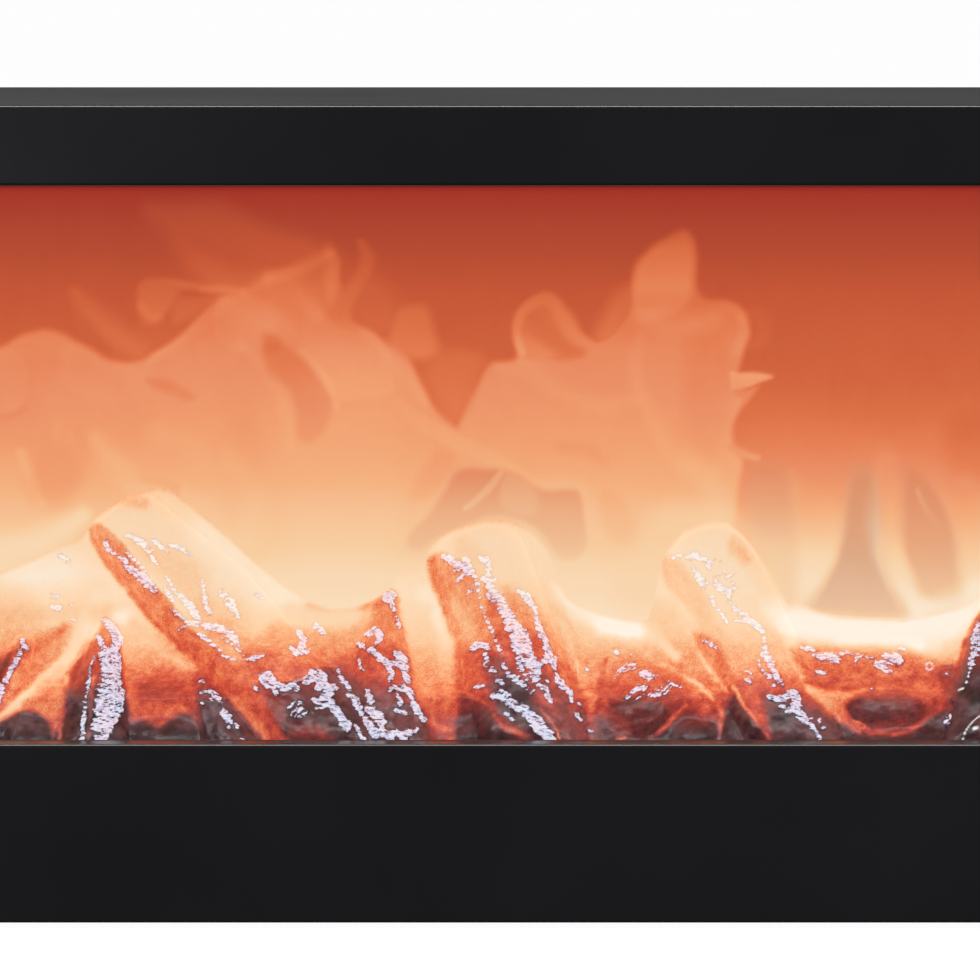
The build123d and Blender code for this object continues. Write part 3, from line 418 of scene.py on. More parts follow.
    # ---- log 2
    A(tb([(-60, 640), (0, 620), (150, 640), (240, 625), (290, 590), (330, 565), (370, 600), (388, 700), (408, 800), (430, 900), (440, 1000), (462, 1090), (512, 1185), (540, 1320), (100, 1320), (60, 1000), (90, 930), (60, 860), (0, 830)]), [(590, 186), (600, 172), (640, 168), (652, 150), (664, 134), (676, 116), (700, 96), (742, 84)], 4)
    A(tb([(-80, 640), (40, 650), (150, 670), (230, 690), (240, 760), (190, 840), (120, 900), (0, 900), (-80, 860)]), [(605, 214), (618, 206), (632, 194), (646, 176), (660, 160)], 9)
    A(tb([(180, 850), (240, 820), (320, 830), (400, 860), (425, 930), (360, 940), (300, 930), (240, 900), (200, 960), (170, 930)]), 124, 6)
    S(tb([(270, 640), (260, 700), (230, 780)]), [4, 5, 5], 8, 1.0, mode="add")
    S(tb([(365, 700), (400, 860), (430, 1000), (470, 1120)]), [4, 5, 5, 5], [170, 150, 132, 110], 0.9)
    # lit gap between log 2 and log 3
    A(tb([(380, 490), (440, 470), (505, 460), (520, 520), (560, 590), (600, 660), (640, 760), (650, 860), (640, 1000), (655, 1080), (662, 1320), (540, 1320), (512, 1180), (466, 1080), (442, 980), (432, 880), (408, 760), (384, 640)]), [(568, 224), (590, 230), (612, 224), (640, 212), (656, 196), (670, 178), (690, 158), (705, 142), (720, 124), (742, 98)], 4)
    S(tb([(500, 590), (540, 600), (570, 650)]), [7, 8, 6], 236, 1.0)
    S(tb([(560, 700), (590, 790), (600, 900), (600, 1020), (610, 1150)]), [6, 7, 6, 6, 5], 14, 1.0, mode="add")
    S(tb([(520, 1190), (580, 1230), (650, 1250)]), [4, 5, 4], 150, 0.9)
    S(tb([(600, 1270), (640, 1280)]), [2.4, 2.4], 205, 0.9)
    # ---- log 3
    A(tb([(503, 440), (512, 400), (545, 365), (600, 320), (650, 280), (720, 250), (800, 232), (900, 238), (1000, 285), (1060, 350), (1110, 440), (1140, 520), (1160, 640), (1190, 740), (1220, 860), (1260, 980), (1300, 1120), (1330, 1220), (1350, 1320), (680, 1320), (668, 1180), (690, 1050), (650, 860), (640, 760), (580, 640), (520, 520)]), [(520, 220), (540, 225), (575, 224), (600, 216), (620, 204), (640, 186), (655, 160), (670, 142), (690, 120), (715, 100), (742, 92)], 4)
    A(tb([(507, 430), (530, 395), (580, 388), (625, 430), (700, 440), (740, 520), (760, 600), (780, 700), (810, 790), (760, 830), (700, 830), (660, 830), (620, 760), (580, 660), (550, 580), (515, 500)]), [(552, 196), (560, 180), (580, 175), (610, 178), (635, 172), (648, 160)], 3.5)
    S(tb([(530, 430), (560, 540), (590, 640), (640, 760)]), [4, 5, 6, 6], [-22, -18, -12, -8], 0.9, mode="add")
    S(tb([(640, 640), (680, 720), (720, 800)]), [6, 8, 6], 22, 0.9, mode="add")
    A(tb([(780, 520), (830, 600), (880, 700), (920, 760), (960, 860), (1000, 960), (940, 960), (880, 880), (840, 800), (800, 700), (770, 600)]), [(580, 196), (610, 168), (640, 148), (660, 128), (680, 108)], 4)
    A(tb([(900, 560), (1000, 600), (1060, 700), (1090, 800), (1060, 900), (1010, 860), (960, 740), (900, 650)]), [(588, 214), (610, 196), (630, 168), (650, 150)], 7)
    A(tb([(1010, 760), (1060, 790), (1110, 900), (1150, 1010), (1200, 1100), (1260, 1200), (1310, 1320), (1140, 1320), (1110, 1220), (1050, 1130), (960, 1060), (1000, 980), (1020, 880)]), [(630, 148), (660, 122), (690, 112), (742, 100)], 5)
    A(tb([(730, 850), (790, 845), (860, 880), (930, 955), (990, 1040), (1050, 1110), (1120, 1190), (1160, 1320), (1060, 1320), (1000, 1250), (900, 1170), (820, 1090), (785, 1000), (750, 930)]), [(650, 122), (670, 100), (690, 86), (715, 78), (742, 76)], 4)
    A(tb([(655, 860), (720, 850), (760, 900), (780, 980), (740, 1040), (680, 1060), (650, 1000)]), 132, 7)
    A(tb([(664, 1090), (720, 1052), (800, 1100), (850, 1165), (910, 1240), (960, 1320), (672, 1320)]), [(690, 100), (710, 82), (742, 62)], 4)
    S(tb([(690, 1060), (760, 1085), (815, 1130)]), [2.4, 2.8, 2.4], 140, 0.9)
    S(tb([(826, 1160), (870, 1215), (930, 1240), (990, 1262)]), [3, 3.6, 3.2, 2.4], [142, 156, 146, 130], 0.9)
    S(tb([(1150, 720), (1185, 820), (1225, 930), (1265, 1030), (1290, 1130), (1310, 1210)]), [5, 6, 6, 6, 5, 4], [214, 206, 192, 176, 160, 140], 0.9)
    S(tb([(1218, 900), (1228, 960), (1234, 1000)]), [1.6, 2, 1.6], 222, 0.8)
    S(tb([(1040, 1130), (1085, 1178), (1123, 1229), (1142, 1290)]), [1.4, 1.8, 2.0, 2.0], [150, 186, 216, 200], 0.5)
    # ridge light between logs 3 and 4, coal mound, rocks
    A([(552, 584), (574, 598), (600, 606), (626, 619), (644, 630), (652, 642), (632, 642), (606, 634), (584, 622), (562, 606)], 238, 9)
    S([(652, 634), (662, 644), (676, 656)], [6, 6, 5], 222, 1.0)
    A(tb([(1240, 760), (1330, 780), (1450, 800), (1568, 810), (1600, 880), (1400, 900), (1300, 880), (1250, 850)]), [(630, 218), (645, 206), (655, 192)], 10)
    S(tb([(1290, 880), (1310, 980), (1320, 1080)]), [4, 4, 4], 186, 0.9)
    A([(598, 684), (610, 664), (628, 656), (652, 656), (676, 666), (690, 684), (700, 712), (694, 742), (604, 742)], [(656, 178), (668, 160), (680, 138), (694, 120), (706, 98), (716, 84), (742, 70)], 6)
    A([(608, 712), (622, 700), (648, 700), (666, 708), (662, 722), (640, 742), (606, 742)], 74, 5)
    S([(606, 660), (602, 684), (606, 706)], [3.5, 4, 3.5], 128, 0.9)
    S(tb([(1340, 1150), (1400, 1190), (1440, 1230)]), [6, 8, 7], 108, 0.9)
    S(tb([(1410, 1275), (1450, 1272)]), [2.4, 2], 168, 0.9)
    S(tc([(50, 1245), (110, 1195), (170, 1130), (215, 1085)]), [3.4, 3.6, 3.4, 3], [150, 160, 156, 150], 0.9)
    A(tc([(100, 1215), (170, 1182), (260, 1192), (335, 1165), (356, 1265), (90, 1275)]), [(720, 84), (742, 68)], 3.5)
    A(tc([(372, 1265), (388, 1130), (430, 1028), (486, 1112), (545, 1185), (600, 1265)]), [(692, 100), (712, 80), (742, 70)], 3)
    # ---- log 4
    A(tc([(84, 410), (96, 380), (130, 340), (200, 280), (300, 240), (395, 228), (470, 280), (540, 370), (620, 500), (690, 620), (705, 760), (740, 900), (820, 1020), (900, 1110), (1000, 1210), (1020, 1280), (620, 1280), (560, 1180), (470, 1060), (420, 980), (340, 880), (250, 720), (170, 600), (108, 500)]), [(522, 224), (550, 228), (590, 229), (620, 224), (640, 210), (655, 194), (668, 170), (680, 146), (700, 118), (742, 92)], 4)
    A(tc([(86, 405), (130, 395), (200, 440), (270, 530), (320, 620), (360, 700), (420, 780), (500, 860), (540, 930), (440, 960), (360, 850), (260, 700), (170, 585), (108, 500)]), [(556, 208), (590, 212), (620, 210), (645, 202), (670, 178)], 6)
    S(tc([(96, 420), (140, 520), (200, 610)]), [4, 5, 5], -10, 0.9, mode="add")
    S(tc([(436, 335), (456, 370), (484, 410)]), [6, 8, 6], 205, 0.9)
    S(tc([(530, 420), (600, 540), (660, 660)]), [9, 11, 9], -7, 1.0, mode="add")
    A(tc([(240, 770), (275, 738), (320, 770), (380, 850), (430, 940), (410, 980), (350, 940), (280, 850)]), [(632, 190), (645, 172), (660, 158), (675, 152)], 4)
    S(tc([(290, 790), (340, 830), (370, 870)]), [6, 8, 6], 152, 1.0)
    S(tc([(-40, 780), (40, 860), (160, 925), (260, 985), (330, 1050), (368, 1100), (374, 1180), (366, 1262)]), [3, 3.4, 3.6, 3.6, 3.6, 4, 3, 2.4], [216, 206, 198, 196, 196, 200, 170, 130], 0.8)
    S(tc([(200, 690), (280, 850), (350, 960), (400, 1020)]), [3.4, 3.4, 3.4, 3], [222, 212, 204, 190], 0.8)
    S(tc([(430, 1000), (480, 1085), (540, 1160), (600, 1232), (630, 1268)]), [2.4, 2.6, 2.4, 2.2, 2], [214, 206, 190, 172, 150], 0.8)
    A(tc([(470, 1000), (560, 1000), (600, 1080), (600, 1160), (620, 1230), (560, 1170), (500, 1090)]), 134, 4)
    A(tc([(540, 930), (590, 900), (660, 960), (740, 1005), (800, 1060), (870, 1135), (950, 1205), (1000, 1280), (640, 1280), (600, 1180), (560, 1060)]), [(664, 168), (680, 140), (696, 104), (712, 88), (742, 74)], 4)
    S(tc([(690, 650), (690, 760), (715, 860), (750, 950), (810, 1020), (890, 1100), (950, 1170), (1010, 1215)]), [6, 6, 5.5, 5, 4.5, 4.5, 4, 3], [232, 230, 222, 208, 188, 176, 164, 150], 0.8)
    # ---- ember bowl
    A(tc([(560, 600), (660, 590), (740, 590), (800, 630), (900, 655), (1000, 665), (1100, 660), (1230, 668), (1330, 650), (1450, 615), (1568, 575), (1700, 545), (1700, 640), (1560, 700), (1496, 790), (1450, 860), (1300, 860), (1230, 806), (1100, 804), (900, 804), (760, 794), (660, 760), (590, 690)]), [(604, 235), (615, 241), (630, 241), (645, 233), (655, 218)], 8)
    A(tc([(692, 830), (760, 812), (900, 822), (1100, 822), (1215, 850), (1300, 880), (1400, 900), (1440, 960), (1430, 1060), (1300, 1080), (1150, 1050), (950, 1050), (800, 1010), (740, 930)]), [(646, 190), (656, 158), (668, 140), (680, 136), (696, 130)], 5)
    S(tc([(760, 975), (850, 985), (920, 978)]), [3, 4, 3], 116, 1.0)
    S(tc([(1000, 960), (1100, 940), (1200, 920)]), [5, 6, 5], 150, 1.0)
    A(tc([(760, 1000), (850, 1012), (960, 1030), (960, 1120), (1000, 1180), (930, 1150), (860, 1080)]), [(688, 184), (700, 176), (715, 150)], 5)
    S(tc([(770, 1003), (860, 1036), (960, 1032), (1080, 1012), (1160, 1008)]), [3.4, 4, 4, 3.4, 2.4], [196, 190, 182, 176, 150], 0.9)
    A(tc([(948, 1085), (1000, 1045), (1100, 1028), (1200, 1030), (1300, 1058), (1336, 1110), (1300, 1165), (1240, 1203), (1150, 1212), (1050, 1192), (972, 1145)]), [(694, 112), (706, 88), (722, 94), (735, 120)], 5)
    A(tc([(1200, 930), (1300, 925), (1400, 950), (1420, 1020), (1340, 1060), (1240, 1020), (1190, 980)]), 132, 7)
    S(tc([(945, 1115), (1000, 1172), (1090, 1208), (1200, 1212), (1300, 1165), (1372, 1110), (1402, 1040), (1400, 985)]), [2.6, 3, 3, 3, 3.2, 3.4, 3.4, 2.6], [150, 158, 152, 150, 150, 148, 146, 138], 0.9)
    S(tc([(980, 1150), (1060, 1190)]), [1.5, 1.5], 190, 0.9)
    A(tc([(858, 1140), (940, 1190), (1040, 1226), (1150, 1240), (1250, 1222), (1330, 1155), (1395, 1112), (1436, 1180), (1430, 1280), (860, 1280)]), [(712, 84), (728, 76), (742, 66)], 3.5)
    A(tc([(1370, 930), (1440, 900), (1490, 900), (1470, 1000), (1440, 1080), (1400, 1120), (1400, 1000)]), 96, 5)
    # ---- log 5
    A(tc([(1700, 520), (1590, 610), (1568, 655), (1536, 700), (1508, 762), (1488, 850), (1466, 940), (1446, 1060), (1430, 1280), (2200, 1280), (2200, 520)]), [(600, 158), (620, 132), (640, 116), (655, 102), (668, 92), (682, 84), (700, 80), (742, 76)], 3.5)
    S(tc([(1500, 790), (1478, 890), (1452, 1000), (1440, 1080)]), [2.6, 2.6, 2.6, 2], [150, 120, 96, 80], 0.9)
    S(tc([(1568, 690), (1620, 640), (1700, 620)]), [6, 8, 8], 8, 0.9, mode="add")
    # logs beyond both ends
    A([(-130, 575), (-96, 560), (-62, 576), (-60, 640), (-84, 700), (-110, 760), (-190, 760), (-176, 680), (-150, 620)], [(570, 214), (600, 196), (640, 150), (680, 112), (742, 74)], 5)
    A([(1056, 604), (1080, 590), (1108, 600), (1122, 650), (1140, 700), (1160, 760), (1080, 760), (1070, 690), (1058, 640)], [(600, 206), (640, 160), (680, 112), (742, 74)], 5)
    A([(484, 606), (502, 588), (520, 598), (536, 640), (540, 690), (520, 712), (498, 700), (486, 660)], -24, 10, mode="add")
    A([(286, 603), (320, 610), (360, 608), (374, 614), (344, 627), (292, 626)], 224, 7, strength=0.9)
    A([(596, 612), (640, 620), (652, 632), (648, 644), (620, 638), (592, 624)], 7, 10, mode="add")
    A([(596, 640), (624, 646), (600, 652)], -4, 8, mode="add")
    A([(196, 600), (240, 600), (244, 636), (206, 640)], -12, 12, mode="add")
    S([(790, 622), (830, 630), (880, 632), (930, 626), (972, 610)], [8, 18, 20, 18, 12], 6, 1.0, mode="add")
    A([(292, 664), (350, 656), (360, 700), (350, 742), (296, 742)], -10, 9, mode="add")
    A([(796, 690), (826, 692), (846, 716), (840, 742), (806, 742)], 16, 8, mode="add")
    A([(88, 690), (112, 690), (122, 742), (84, 742)], -8, 8, mode="add")
    A([(-30, 596), (30, 592), (44, 640), (36, 676), (-30, 690)], -12, 12, mode="add")
    A([(-30, 690), (20, 676), (34, 690), (20, 706), (-30, 716)], 12, 8, mode="add")
    A([(50, 676), (68, 668), (72, 700), (58, 706)], 12, 7, mode="add")
    A([(140, 650), (214, 650), (232, 690), (200, 690), (130, 690)], -10, 9, mode="add")
    A([(168, 616), (200, 624), (216, 656), (180, 660), (156, 640)], -9, 9, mode="add")
    A([(326, 664), (352, 664), (352, 696), (326, 696)], -9, 7, mode="add")
    A([(364, 596), (396, 600), (396, 664), (366, 664)], -11, 8, mode="add")
    A([(412, 686), (432, 680), (436, 712), (414, 716)], 13, 7, mode="add")
    A([(528, 654), (548, 658), (552, 690), (534, 684)], -7, 7, mode="add")
    A([(532, 698), (552, 700), (556, 722), (536, 720)], 12, 7, mode="add")
    A([(572, 684), (596, 684), (594, 712), (574, 704)], 10, 7, mode="add")
    A([(646, 600), (672, 600), (674, 622), (650, 622)], -7, 7, mode="add")
    A([(984, 608), (1010, 596), (1010, 700), (962, 700), (964, 664), (972, 636)], -22, 6, mode="add")
    S([(948, 648), (964, 640), (980, 618)], [6, 7, 7], -12, 1.0, mode="add")
    A([(884, 716), (920, 716), (920, 742), (884, 742)], -10, 8, mode="add")
    A([(842, 640), (916, 640), (916, 652), (842, 652)], 17, 7, mode="add")
    A([(770, 656), (790, 656), (794, 672), (772, 672)], 12, 7, mode="add")
    A([(768, 700), (792, 700), (792, 722), (768, 722)], -16, 7, mode="add")
    A([(842, 700), (880, 700), (880, 722), (842, 722)], -13, 7, mode="add")
    A([(804, 702), (832, 702), (830, 722), (806, 720)], 14, 7, mode="add")
    A([(166, 686), (196, 686), (196, 704), (166, 704)], -13, 7, mode="add")
    A([(246, 652), (276, 652), (276, 672), (246, 672)], -13, 7, mode="add")
    A([(208, 622), (232, 622), (232, 640), (208, 640)], -11, 8, mode="add")
    A([(286, 704), (352, 704), (352, 742), (286, 742)], -11, 7, mode="add")
    A([(90, 606), (112, 606), (112, 622), (90, 622)], -11, 7, mode="add")
    A([(88, 622), (110, 622), (108, 640), (88, 640)], 12, 7, mode="add")
    A([(528, 652), (552, 652), (552, 672), (528, 672)], 13, 7, mode="add")
    A([(530, 700), (556, 700), (556, 722), (530, 722)], 12, 7, mode="add")
    A([(412, 688), (430, 688), (430, 702), (412, 702)], 11, 7, mode="add")
    A([(600, 622), (640, 622), (640, 638), (600, 638)], 10, 8, mode="add")
    A([(128, 670), (150, 670), (150, 686), (128, 686)], 9, 7, mode="add")
    A([(366, 638), (392, 638), (392, 654), (366, 654)], 9, 7, mode="add")
    A([(456, 540), (480, 548), (484, 584), (462, 586)], -9, 8, mode="add")
    A([(690, 664), (714, 668), (716, 704), (700, 712), (686, 694)], 20, 9, mode="add")
    light = s.f - 17 * smooth((v - 668) / 44.0)

    grey = Sheet(wu, wv, np.interp(v, [690, 742], [0.0, 0.25]))
    def G(pts, value, soft):
        grey.area(pts, value, soft * 1.8)

    G(ta([(-300, 1260), (-60, 1250), (0, 1190), (60, 1165), (130, 1148), (200, 1165), (238, 1215), (256, 1320), (-300, 1340)]), 1.0, 4)
    G(ta([(316, 1050), (360, 1060), (410, 1080), (430, 1320), (272, 1320), (290, 1180)]), 0.85, 5)
    G(ta([(440, 1060), (590, 1100), (604, 1320), (430, 1320)]), 0.9, 6)
    G(ta([(604, 1215), (700, 1195), (762, 1225), (830, 1185), (905, 1165), (950, 1240), (962, 1330), (600, 1330)]), 0.95, 4)
    G(ta([(950, 1080), (1040, 1080), (1120, 1130), (1200, 1230), (1250, 1330), (962, 1330)]), 0.9, 5)
    G(ta([(1320, 1060), (1500, 1020), (1568, 990), (1568, 1180), (1400, 1180)]), 0.6, 6)
    G(tb([(0, 980), (120, 960), (200, 1010), (300, 1040), (420, 1090), (500, 1200), (520, 1330), (120, 1330)]), 0.65, 7)
    G(tb([(880, 960), (980, 1050), (1080, 1150), (1120, 1330), (1040, 1330), (900, 1180), (830, 1080)]), 0.8, 5)
    G(tb([(1060, 980), (1130, 1010), (1210, 1130), (1290, 1310), (1160, 1310), (1130, 1220), (1080, 1130)]), 0.6, 6)
    G(tb([(690, 1180), (800, 1150), (900, 1260), (900, 1330), (680, 1330)]), 0.7, 5)
    G(tb([(1320, 1180), (1400, 1150), (1460, 1240), (1400, 1330), (1300, 1330)]), 0.5, 6)
    G(tc([(100, 1215), (170, 1182), (260, 1192), (335, 1165), (356, 1280), (90, 1280)]), 0.85, 4)
    G(tc([(372, 1280), (388, 1130), (430, 1040), (486, 1112), (545, 1185), (600, 1280)]), 0.8, 4)
    G(tc([(620, 1090), (720, 1080), (800, 1080), (880, 1150), (960, 1215), (1000, 1290), (660, 1290)]), 0.85, 5)
    G(tc([(858, 1150), (1040, 1230), (1150, 1244), (1250, 1226), (1330, 1160), (1395, 1120), (1436, 1180), (1430, 1290), (860, 1290)]), 0.85, 4)
    G(tc([(1000, 1070), (1150, 1040), (1280, 1080), (1260, 1150), (1100, 1180), (1010, 1140)]), 0.45, 7)
    G(tc([(1470, 940), (1568, 900), (2200, 900), (2200, 1290), (1430, 1290), (1446, 1060)]), 0.85, 5)
    G([(-190, 690), (-90, 690), (-100, 770), (-190, 770)], 0.8, 6)
    G([(1070, 690), (1150, 690), (1160, 770), (1080, 770)], 0.8, 6)
    grey = np.clip(grey.f, 0, 1)

    # ash: dry-brushed dabs, kept as a distance so that the finish can break their edges
    ash = np.full(u.shape, -9.0)
    au = u + 1.0 * fbm(u, v, 6, 51, 3)
    av = v + 1.0 * fbm(u, v, 6, 61, 3)

    def dab(pts, w, k):
        nonlocal ash
        p = curve(pts) if len(pts) > 2 else np.array(pts, float)
        if len(p) == 1:
            p = np.vstack([p, p + [[0.5, 0.5]]])
        half = np.array(np.atleast_1d(w), float) / k / 2
        m = near(au, av, p, half.max() + 10)
        if not m.any():
            return
        d, t = line_distance(au[m], av[m], p)
        r = np.interp(t, np.linspace(0, 1, len(half)), half)
        r = r * (1 + 0.3 * lattice(au[m], av[m], 5, 71)) + 0.55 * smooth((672 - v[m]) / 30.0)
        ash[m] = np.maximum(ash[m], r - d)

    K = 4.75
    for pts, w in (
        ([(500, 345), (520, 380), (560, 410), (600, 440)], 15), ([(600, 458), (650, 490), (690, 525), (735, 572)], [20, 34, 40, 26]),
        ([(600, 385), (640, 430), (700, 480)], 8), ([(640, 330), (690, 370), (742, 445)], 9), ([(600, 310), (680, 338), (720, 380)], 5),
        ([(730, 330), (760, 360), (800, 388)], [18, 14, 8]), ([(800, 355), (850, 372), (905, 402)], [8, 14, 6]), ([(780, 560), (800, 590), (822, 618)], [8, 16, 14]),
        ([(860, 600), (900, 645), (932, 692)], [20, 32, 26]), ([(790, 510), (850, 600)], 7), ([(962, 530), (970, 600), (985, 660)], [8, 14, 10]), ([(985, 665), (998, 680)], 16),
        ([(1045, 585), (1080, 632), (1110, 680)], [20, 12, 10]), ([(1068, 580), (1105, 632), (1130, 692)], [10, 12, 14]), ([(1222, 595), (1242, 605)], 12),
        ([(818, 660), (858, 702)], [16, 12]), ([(885, 722), (925, 728)], 16), ([(855, 752), (875, 746)], 8), ([(930, 740), (952, 708)], 5),
        ([(968, 738), (1040, 752), (1105, 790), (1132, 832)], [20, 34, 34, 14]), ([(948, 780), (1000, 822), (1052, 860)], [16, 10, 6]), ([(1060, 800), (1140, 862), (1168, 890)], 5),
        ([(1175, 905), (1205, 892), (1245, 882)], [14, 22, 14]), ([(1060, 880), (1120, 905)], 4),
        ([(280, 400), (322, 432)], 6), ([(245, 598), (272, 600)], 8), ([(250, 648), (280, 655)], 14), ([(340, 710), (352, 714)], 6), ([(330, 630), (338, 640)], 5),
        ([(107, 808), (112, 830), (132, 850)], [12, 16, 10]), ([(98, 862), (78, 905), (50, 955), (28, 1000)], [16, 20, 20, 24]), ([(8, 1015), (5, 1060), (-6, 1100)], [16, 24, 14]),
        ([(500, 715), (535, 755), (560, 800), (540, 850), (505, 870)], [18, 34, 42, 44, 40]), ([(468, 790), (490, 845), (505, 900)], [16, 24, 40]),
        ([(520, 880), (520, 960), (516, 1050), (514, 1130)], [88, 92, 112, 128]), ([(560, 880), (562, 980), (580, 1060), (576, 1150)], [28, 18, 20, 22]),
        ([(512, 1120), (496, 1200), (468, 1290)], [122, 104, 70]), ([(560, 1160), (524, 1206)], 26), ([(500, 1230), (540, 1200)], 10),
        ([(452, 880), (432, 930), (424, 1010), (408, 1090), (398, 1180), (392, 1290)], [8, 16, 14, 20, 20, 22]),
        ([(955, 1003), (968, 1006)], 10), ([(955, 1056), (978, 1052)], 14), ([(985, 1040), (1030, 1076), (1052, 1110)], [8, 26, 12]), ([(960, 1108), (968, 1114)], 8), ([(1000, 1090), (1012, 1108)], 8),
        ([(1050, 1148), (1082, 1180), (1090, 1215)], [14, 32, 24]), ([(1120, 1210), (1128, 1222)], 8), ([(1060, 1130), (1100, 1168)], 6), ([(1180, 1290), (1190, 1290)], 6), ([(1145, 1280), (1165, 1284)], 10),
        ([(1210, 1030), (1222, 1046)], 10), ([(1262, 990), (1285, 1010)], 56), ([(1285, 1020), (1310, 1055)], 24), ([(1320, 1020), (1360, 1040), (1400, 1010)], [26, 34, 18]), ([(1408, 1040)], 26), ([(1420, 1000), (1445, 1000)], 12),
        ([(1450, 1000), (1500, 975), (1530, 985), (1520, 1030)], [30, 56, 46, 40]), ([(1530, 1030), (1568, 1062)], 30), ([(1490, 1085), (1530, 1100), (1568, 1108)], [20, 36, 40]), ([(1500, 1130), (1540, 1130)], 8),
        ([(1385, 1162), (1425, 1108)], 6), ([(1400, 1168), (1438, 1128)], 7), ([(1425, 1172), (1462, 1142)], 7), ([(1372, 1130), (1398, 1100)], 5), ([(1418, 1098), (1440, 1110)], 5),
        ([(1422, 768), (1440, 810), (1430, 848)], [20, 22, 26]), ([(1380, 846), (1420, 872), (1466, 856)], [10, 20, 10]), ([(1405, 880), (1432, 870)], 12), ([(1500, 742), (1530, 762)], [18, 14]), ([(1530, 775), (1538, 768)], 8),
    ):
        dab(ta(pts), w, K)
    for pts, w in (
        ([(295, 588), (330, 574), (356, 600)], [7, 9, 8]), ([(322, 604), (334, 612)], 36), ([(338, 635), (350, 668)], 9), ([(364, 700), (370, 715)], 8), ([(372, 728), (382, 744)], 9),
        ([(222, 782), (262, 766), (284, 790), (276, 820)], [14, 26, 30, 12]), ([(184, 828), (204, 838)], 14), ([(232, 856), (244, 852)], 16), ([(250, 850), (275, 880), (300, 905), (330, 915)], [16, 24, 28, 20]),
        ([(360, 880), (385, 885), (410, 902)], [24, 30, 22]), ([(318, 925), (340, 965), (330, 1002)], [20, 22, 14]), ([(345, 915), (380, 925), (405, 940)], [20, 28, 40]), ([(390, 930), (405, 970), (420, 1005)], [22, 26, 20]), ([(186, 905), (202, 945)], 9),
        ([(88, 948), (98, 985), (110, 1010)], [12, 14, 16]), ([(122, 1012), (140, 1036)], 18), ([(135, 1062), (168, 1095), (198, 1158)], [12, 34, 18]), ([(0, 990), (20, 1020), (60, 1036)], [30, 32, 22]), ([(70, 1030), (80, 1040)], 12),
        ([(10, 1078), (50, 1108), (92, 1165), (125, 1212)], [26, 38, 26, 40]), ([(100, 1180), (135, 1230)], 22), ([(228, 1066), (244, 1098)], [22, 28]), ([(215, 1045), (228, 1050)], 8), ([(228, 1135), (262, 1160), (292, 1198)], [26, 60, 46]), ([(210, 1180), (240, 1215), (262, 1258)], [20, 34, 40]),
        ([(300, 1248), (332, 1262)], 44), ([(368, 1252), (402, 1262), (438, 1240)], [22, 36, 14]), ([(440, 1245), (464, 1232)], 10), ([(172, 1218), (196, 1262)], 16), ([(205, 1272), (212, 1280)], 12),
        ([(326, 1042), (372, 1032), (425, 1052), (440, 1090)], [16, 20, 28, 22]), ([(372, 1072), (386, 1108)], 16), ([(362, 1142), (372, 1146)], 20), ([(396, 1148), (404, 1156)], 12), ([(440, 1100), (462, 1138), (492, 1184)], [20, 34, 22]),
        ([(590, 412), (635, 434), (668, 452)], [18, 34, 16]), ([(650, 455), (700, 440)], 20), ([(690, 425), (705, 470), (742, 512)], [18, 34, 14]), ([(742, 520), (748, 548)], 12), ([(750, 572), (758, 606)], [16, 10]), ([(748, 582), (752, 590)], 16),
        ([(764, 652), (782, 672), (784, 702)], [10, 14, 12]), ([(795, 714), (820, 770), (838, 826), (878, 888)], [10, 12, 13, 6]), ([(650, 530), (690, 490)], 5), ([(640, 485), (690, 450)], 6), ([(700, 590), (720, 570)], 3),
        ([(762, 412), (775, 430), (792, 420), (806, 470)], [10, 16, 16, 18]), ([(780, 440), (800, 500)], 12), ([(768, 515), (800, 530), (832, 520)], [10, 18, 12]), ([(800, 540), (822, 590), (850, 620)], [30, 56, 58]),
        ([(850, 600), (872, 660), (900, 710), (925, 752)], [48, 56, 58, 54]), ([(900, 752), (950, 762), (975, 790)], [30, 40, 30]), ([(930, 790), (965, 840), (990, 900)], [58, 74, 78]), ([(985, 880), (1012, 930), (1022, 985)], [64, 70, 54]), ([(940, 900), (962, 950), (990, 1000)], [24, 26, 24]), ([(905, 795), (930, 850)], 10),
        ([(945, 576), (985, 600), (1005, 635)], [8, 18, 16]), ([(965, 600), (1000, 640)], 10), ([(1022, 655), (1032, 720), (1050, 790)], [10, 16, 18]), ([(1052, 760), (1072, 830), (1090, 880)], [12, 22, 34]), ([(1060, 900), (1100, 900), (1112, 945)], [30, 40, 20]), ([(1045, 930), (1060, 900)], 14),
        ([(1118, 970), (1140, 1012), (1172, 1040), (1192, 1060)], [12, 34, 26, 18]), ([(1190, 1060), (1196, 1100)], 14), ([(1215, 1155), (1240, 1188)], [14, 10]), ([(1276, 1236), (1290, 1244)], 12), ([(1228, 1108), (1236, 1120)], 5),
        ([(726, 848), (755, 828), (796, 846)], [20, 26, 24]), ([(785, 870), (792, 900)], [16, 24]), ([(815, 945), (832, 955)], 26), ([(780, 925), (790, 935)], 6), ([(838, 995), (862, 1010)], 22), ([(735, 1032), (774, 1024)], [12, 14]), ([(820, 1076), (858, 1058), (892, 1084)], [20, 34, 34]),
        ([(850, 1072), (890, 1090)], [26, 30]), ([(900, 1105), (934, 1122)], 34), ([(940, 1124), (975, 1146), (1000, 1172)], [34, 50, 40]), ([(1006, 1178), (1036, 1196), (1056, 1214)], [40, 50, 38]), ([(1048, 1226), (1078, 1250), (1094, 1285)], [34, 52, 46]), ([(1010, 1215), (1035, 1240)], 18), ([(880, 1150), (912, 1188)], [16, 12]),
        ([(868, 930), (885, 952)], 22), ([(885, 960), (920, 990), (972, 1028)], [20, 36, 20]), ([(1040, 1020), (1075, 1052)], [20, 34]), ([(1060, 1040), (1085, 1075), (1098, 1105)], [20, 24, 10]), ([(975, 1052), (1010, 1012)], 7), ([(1000, 1060), (1030, 1025)], 7), ([(1010, 975), (1050, 960)], 10), ([(1076, 1000), (1082, 1004)], 8),
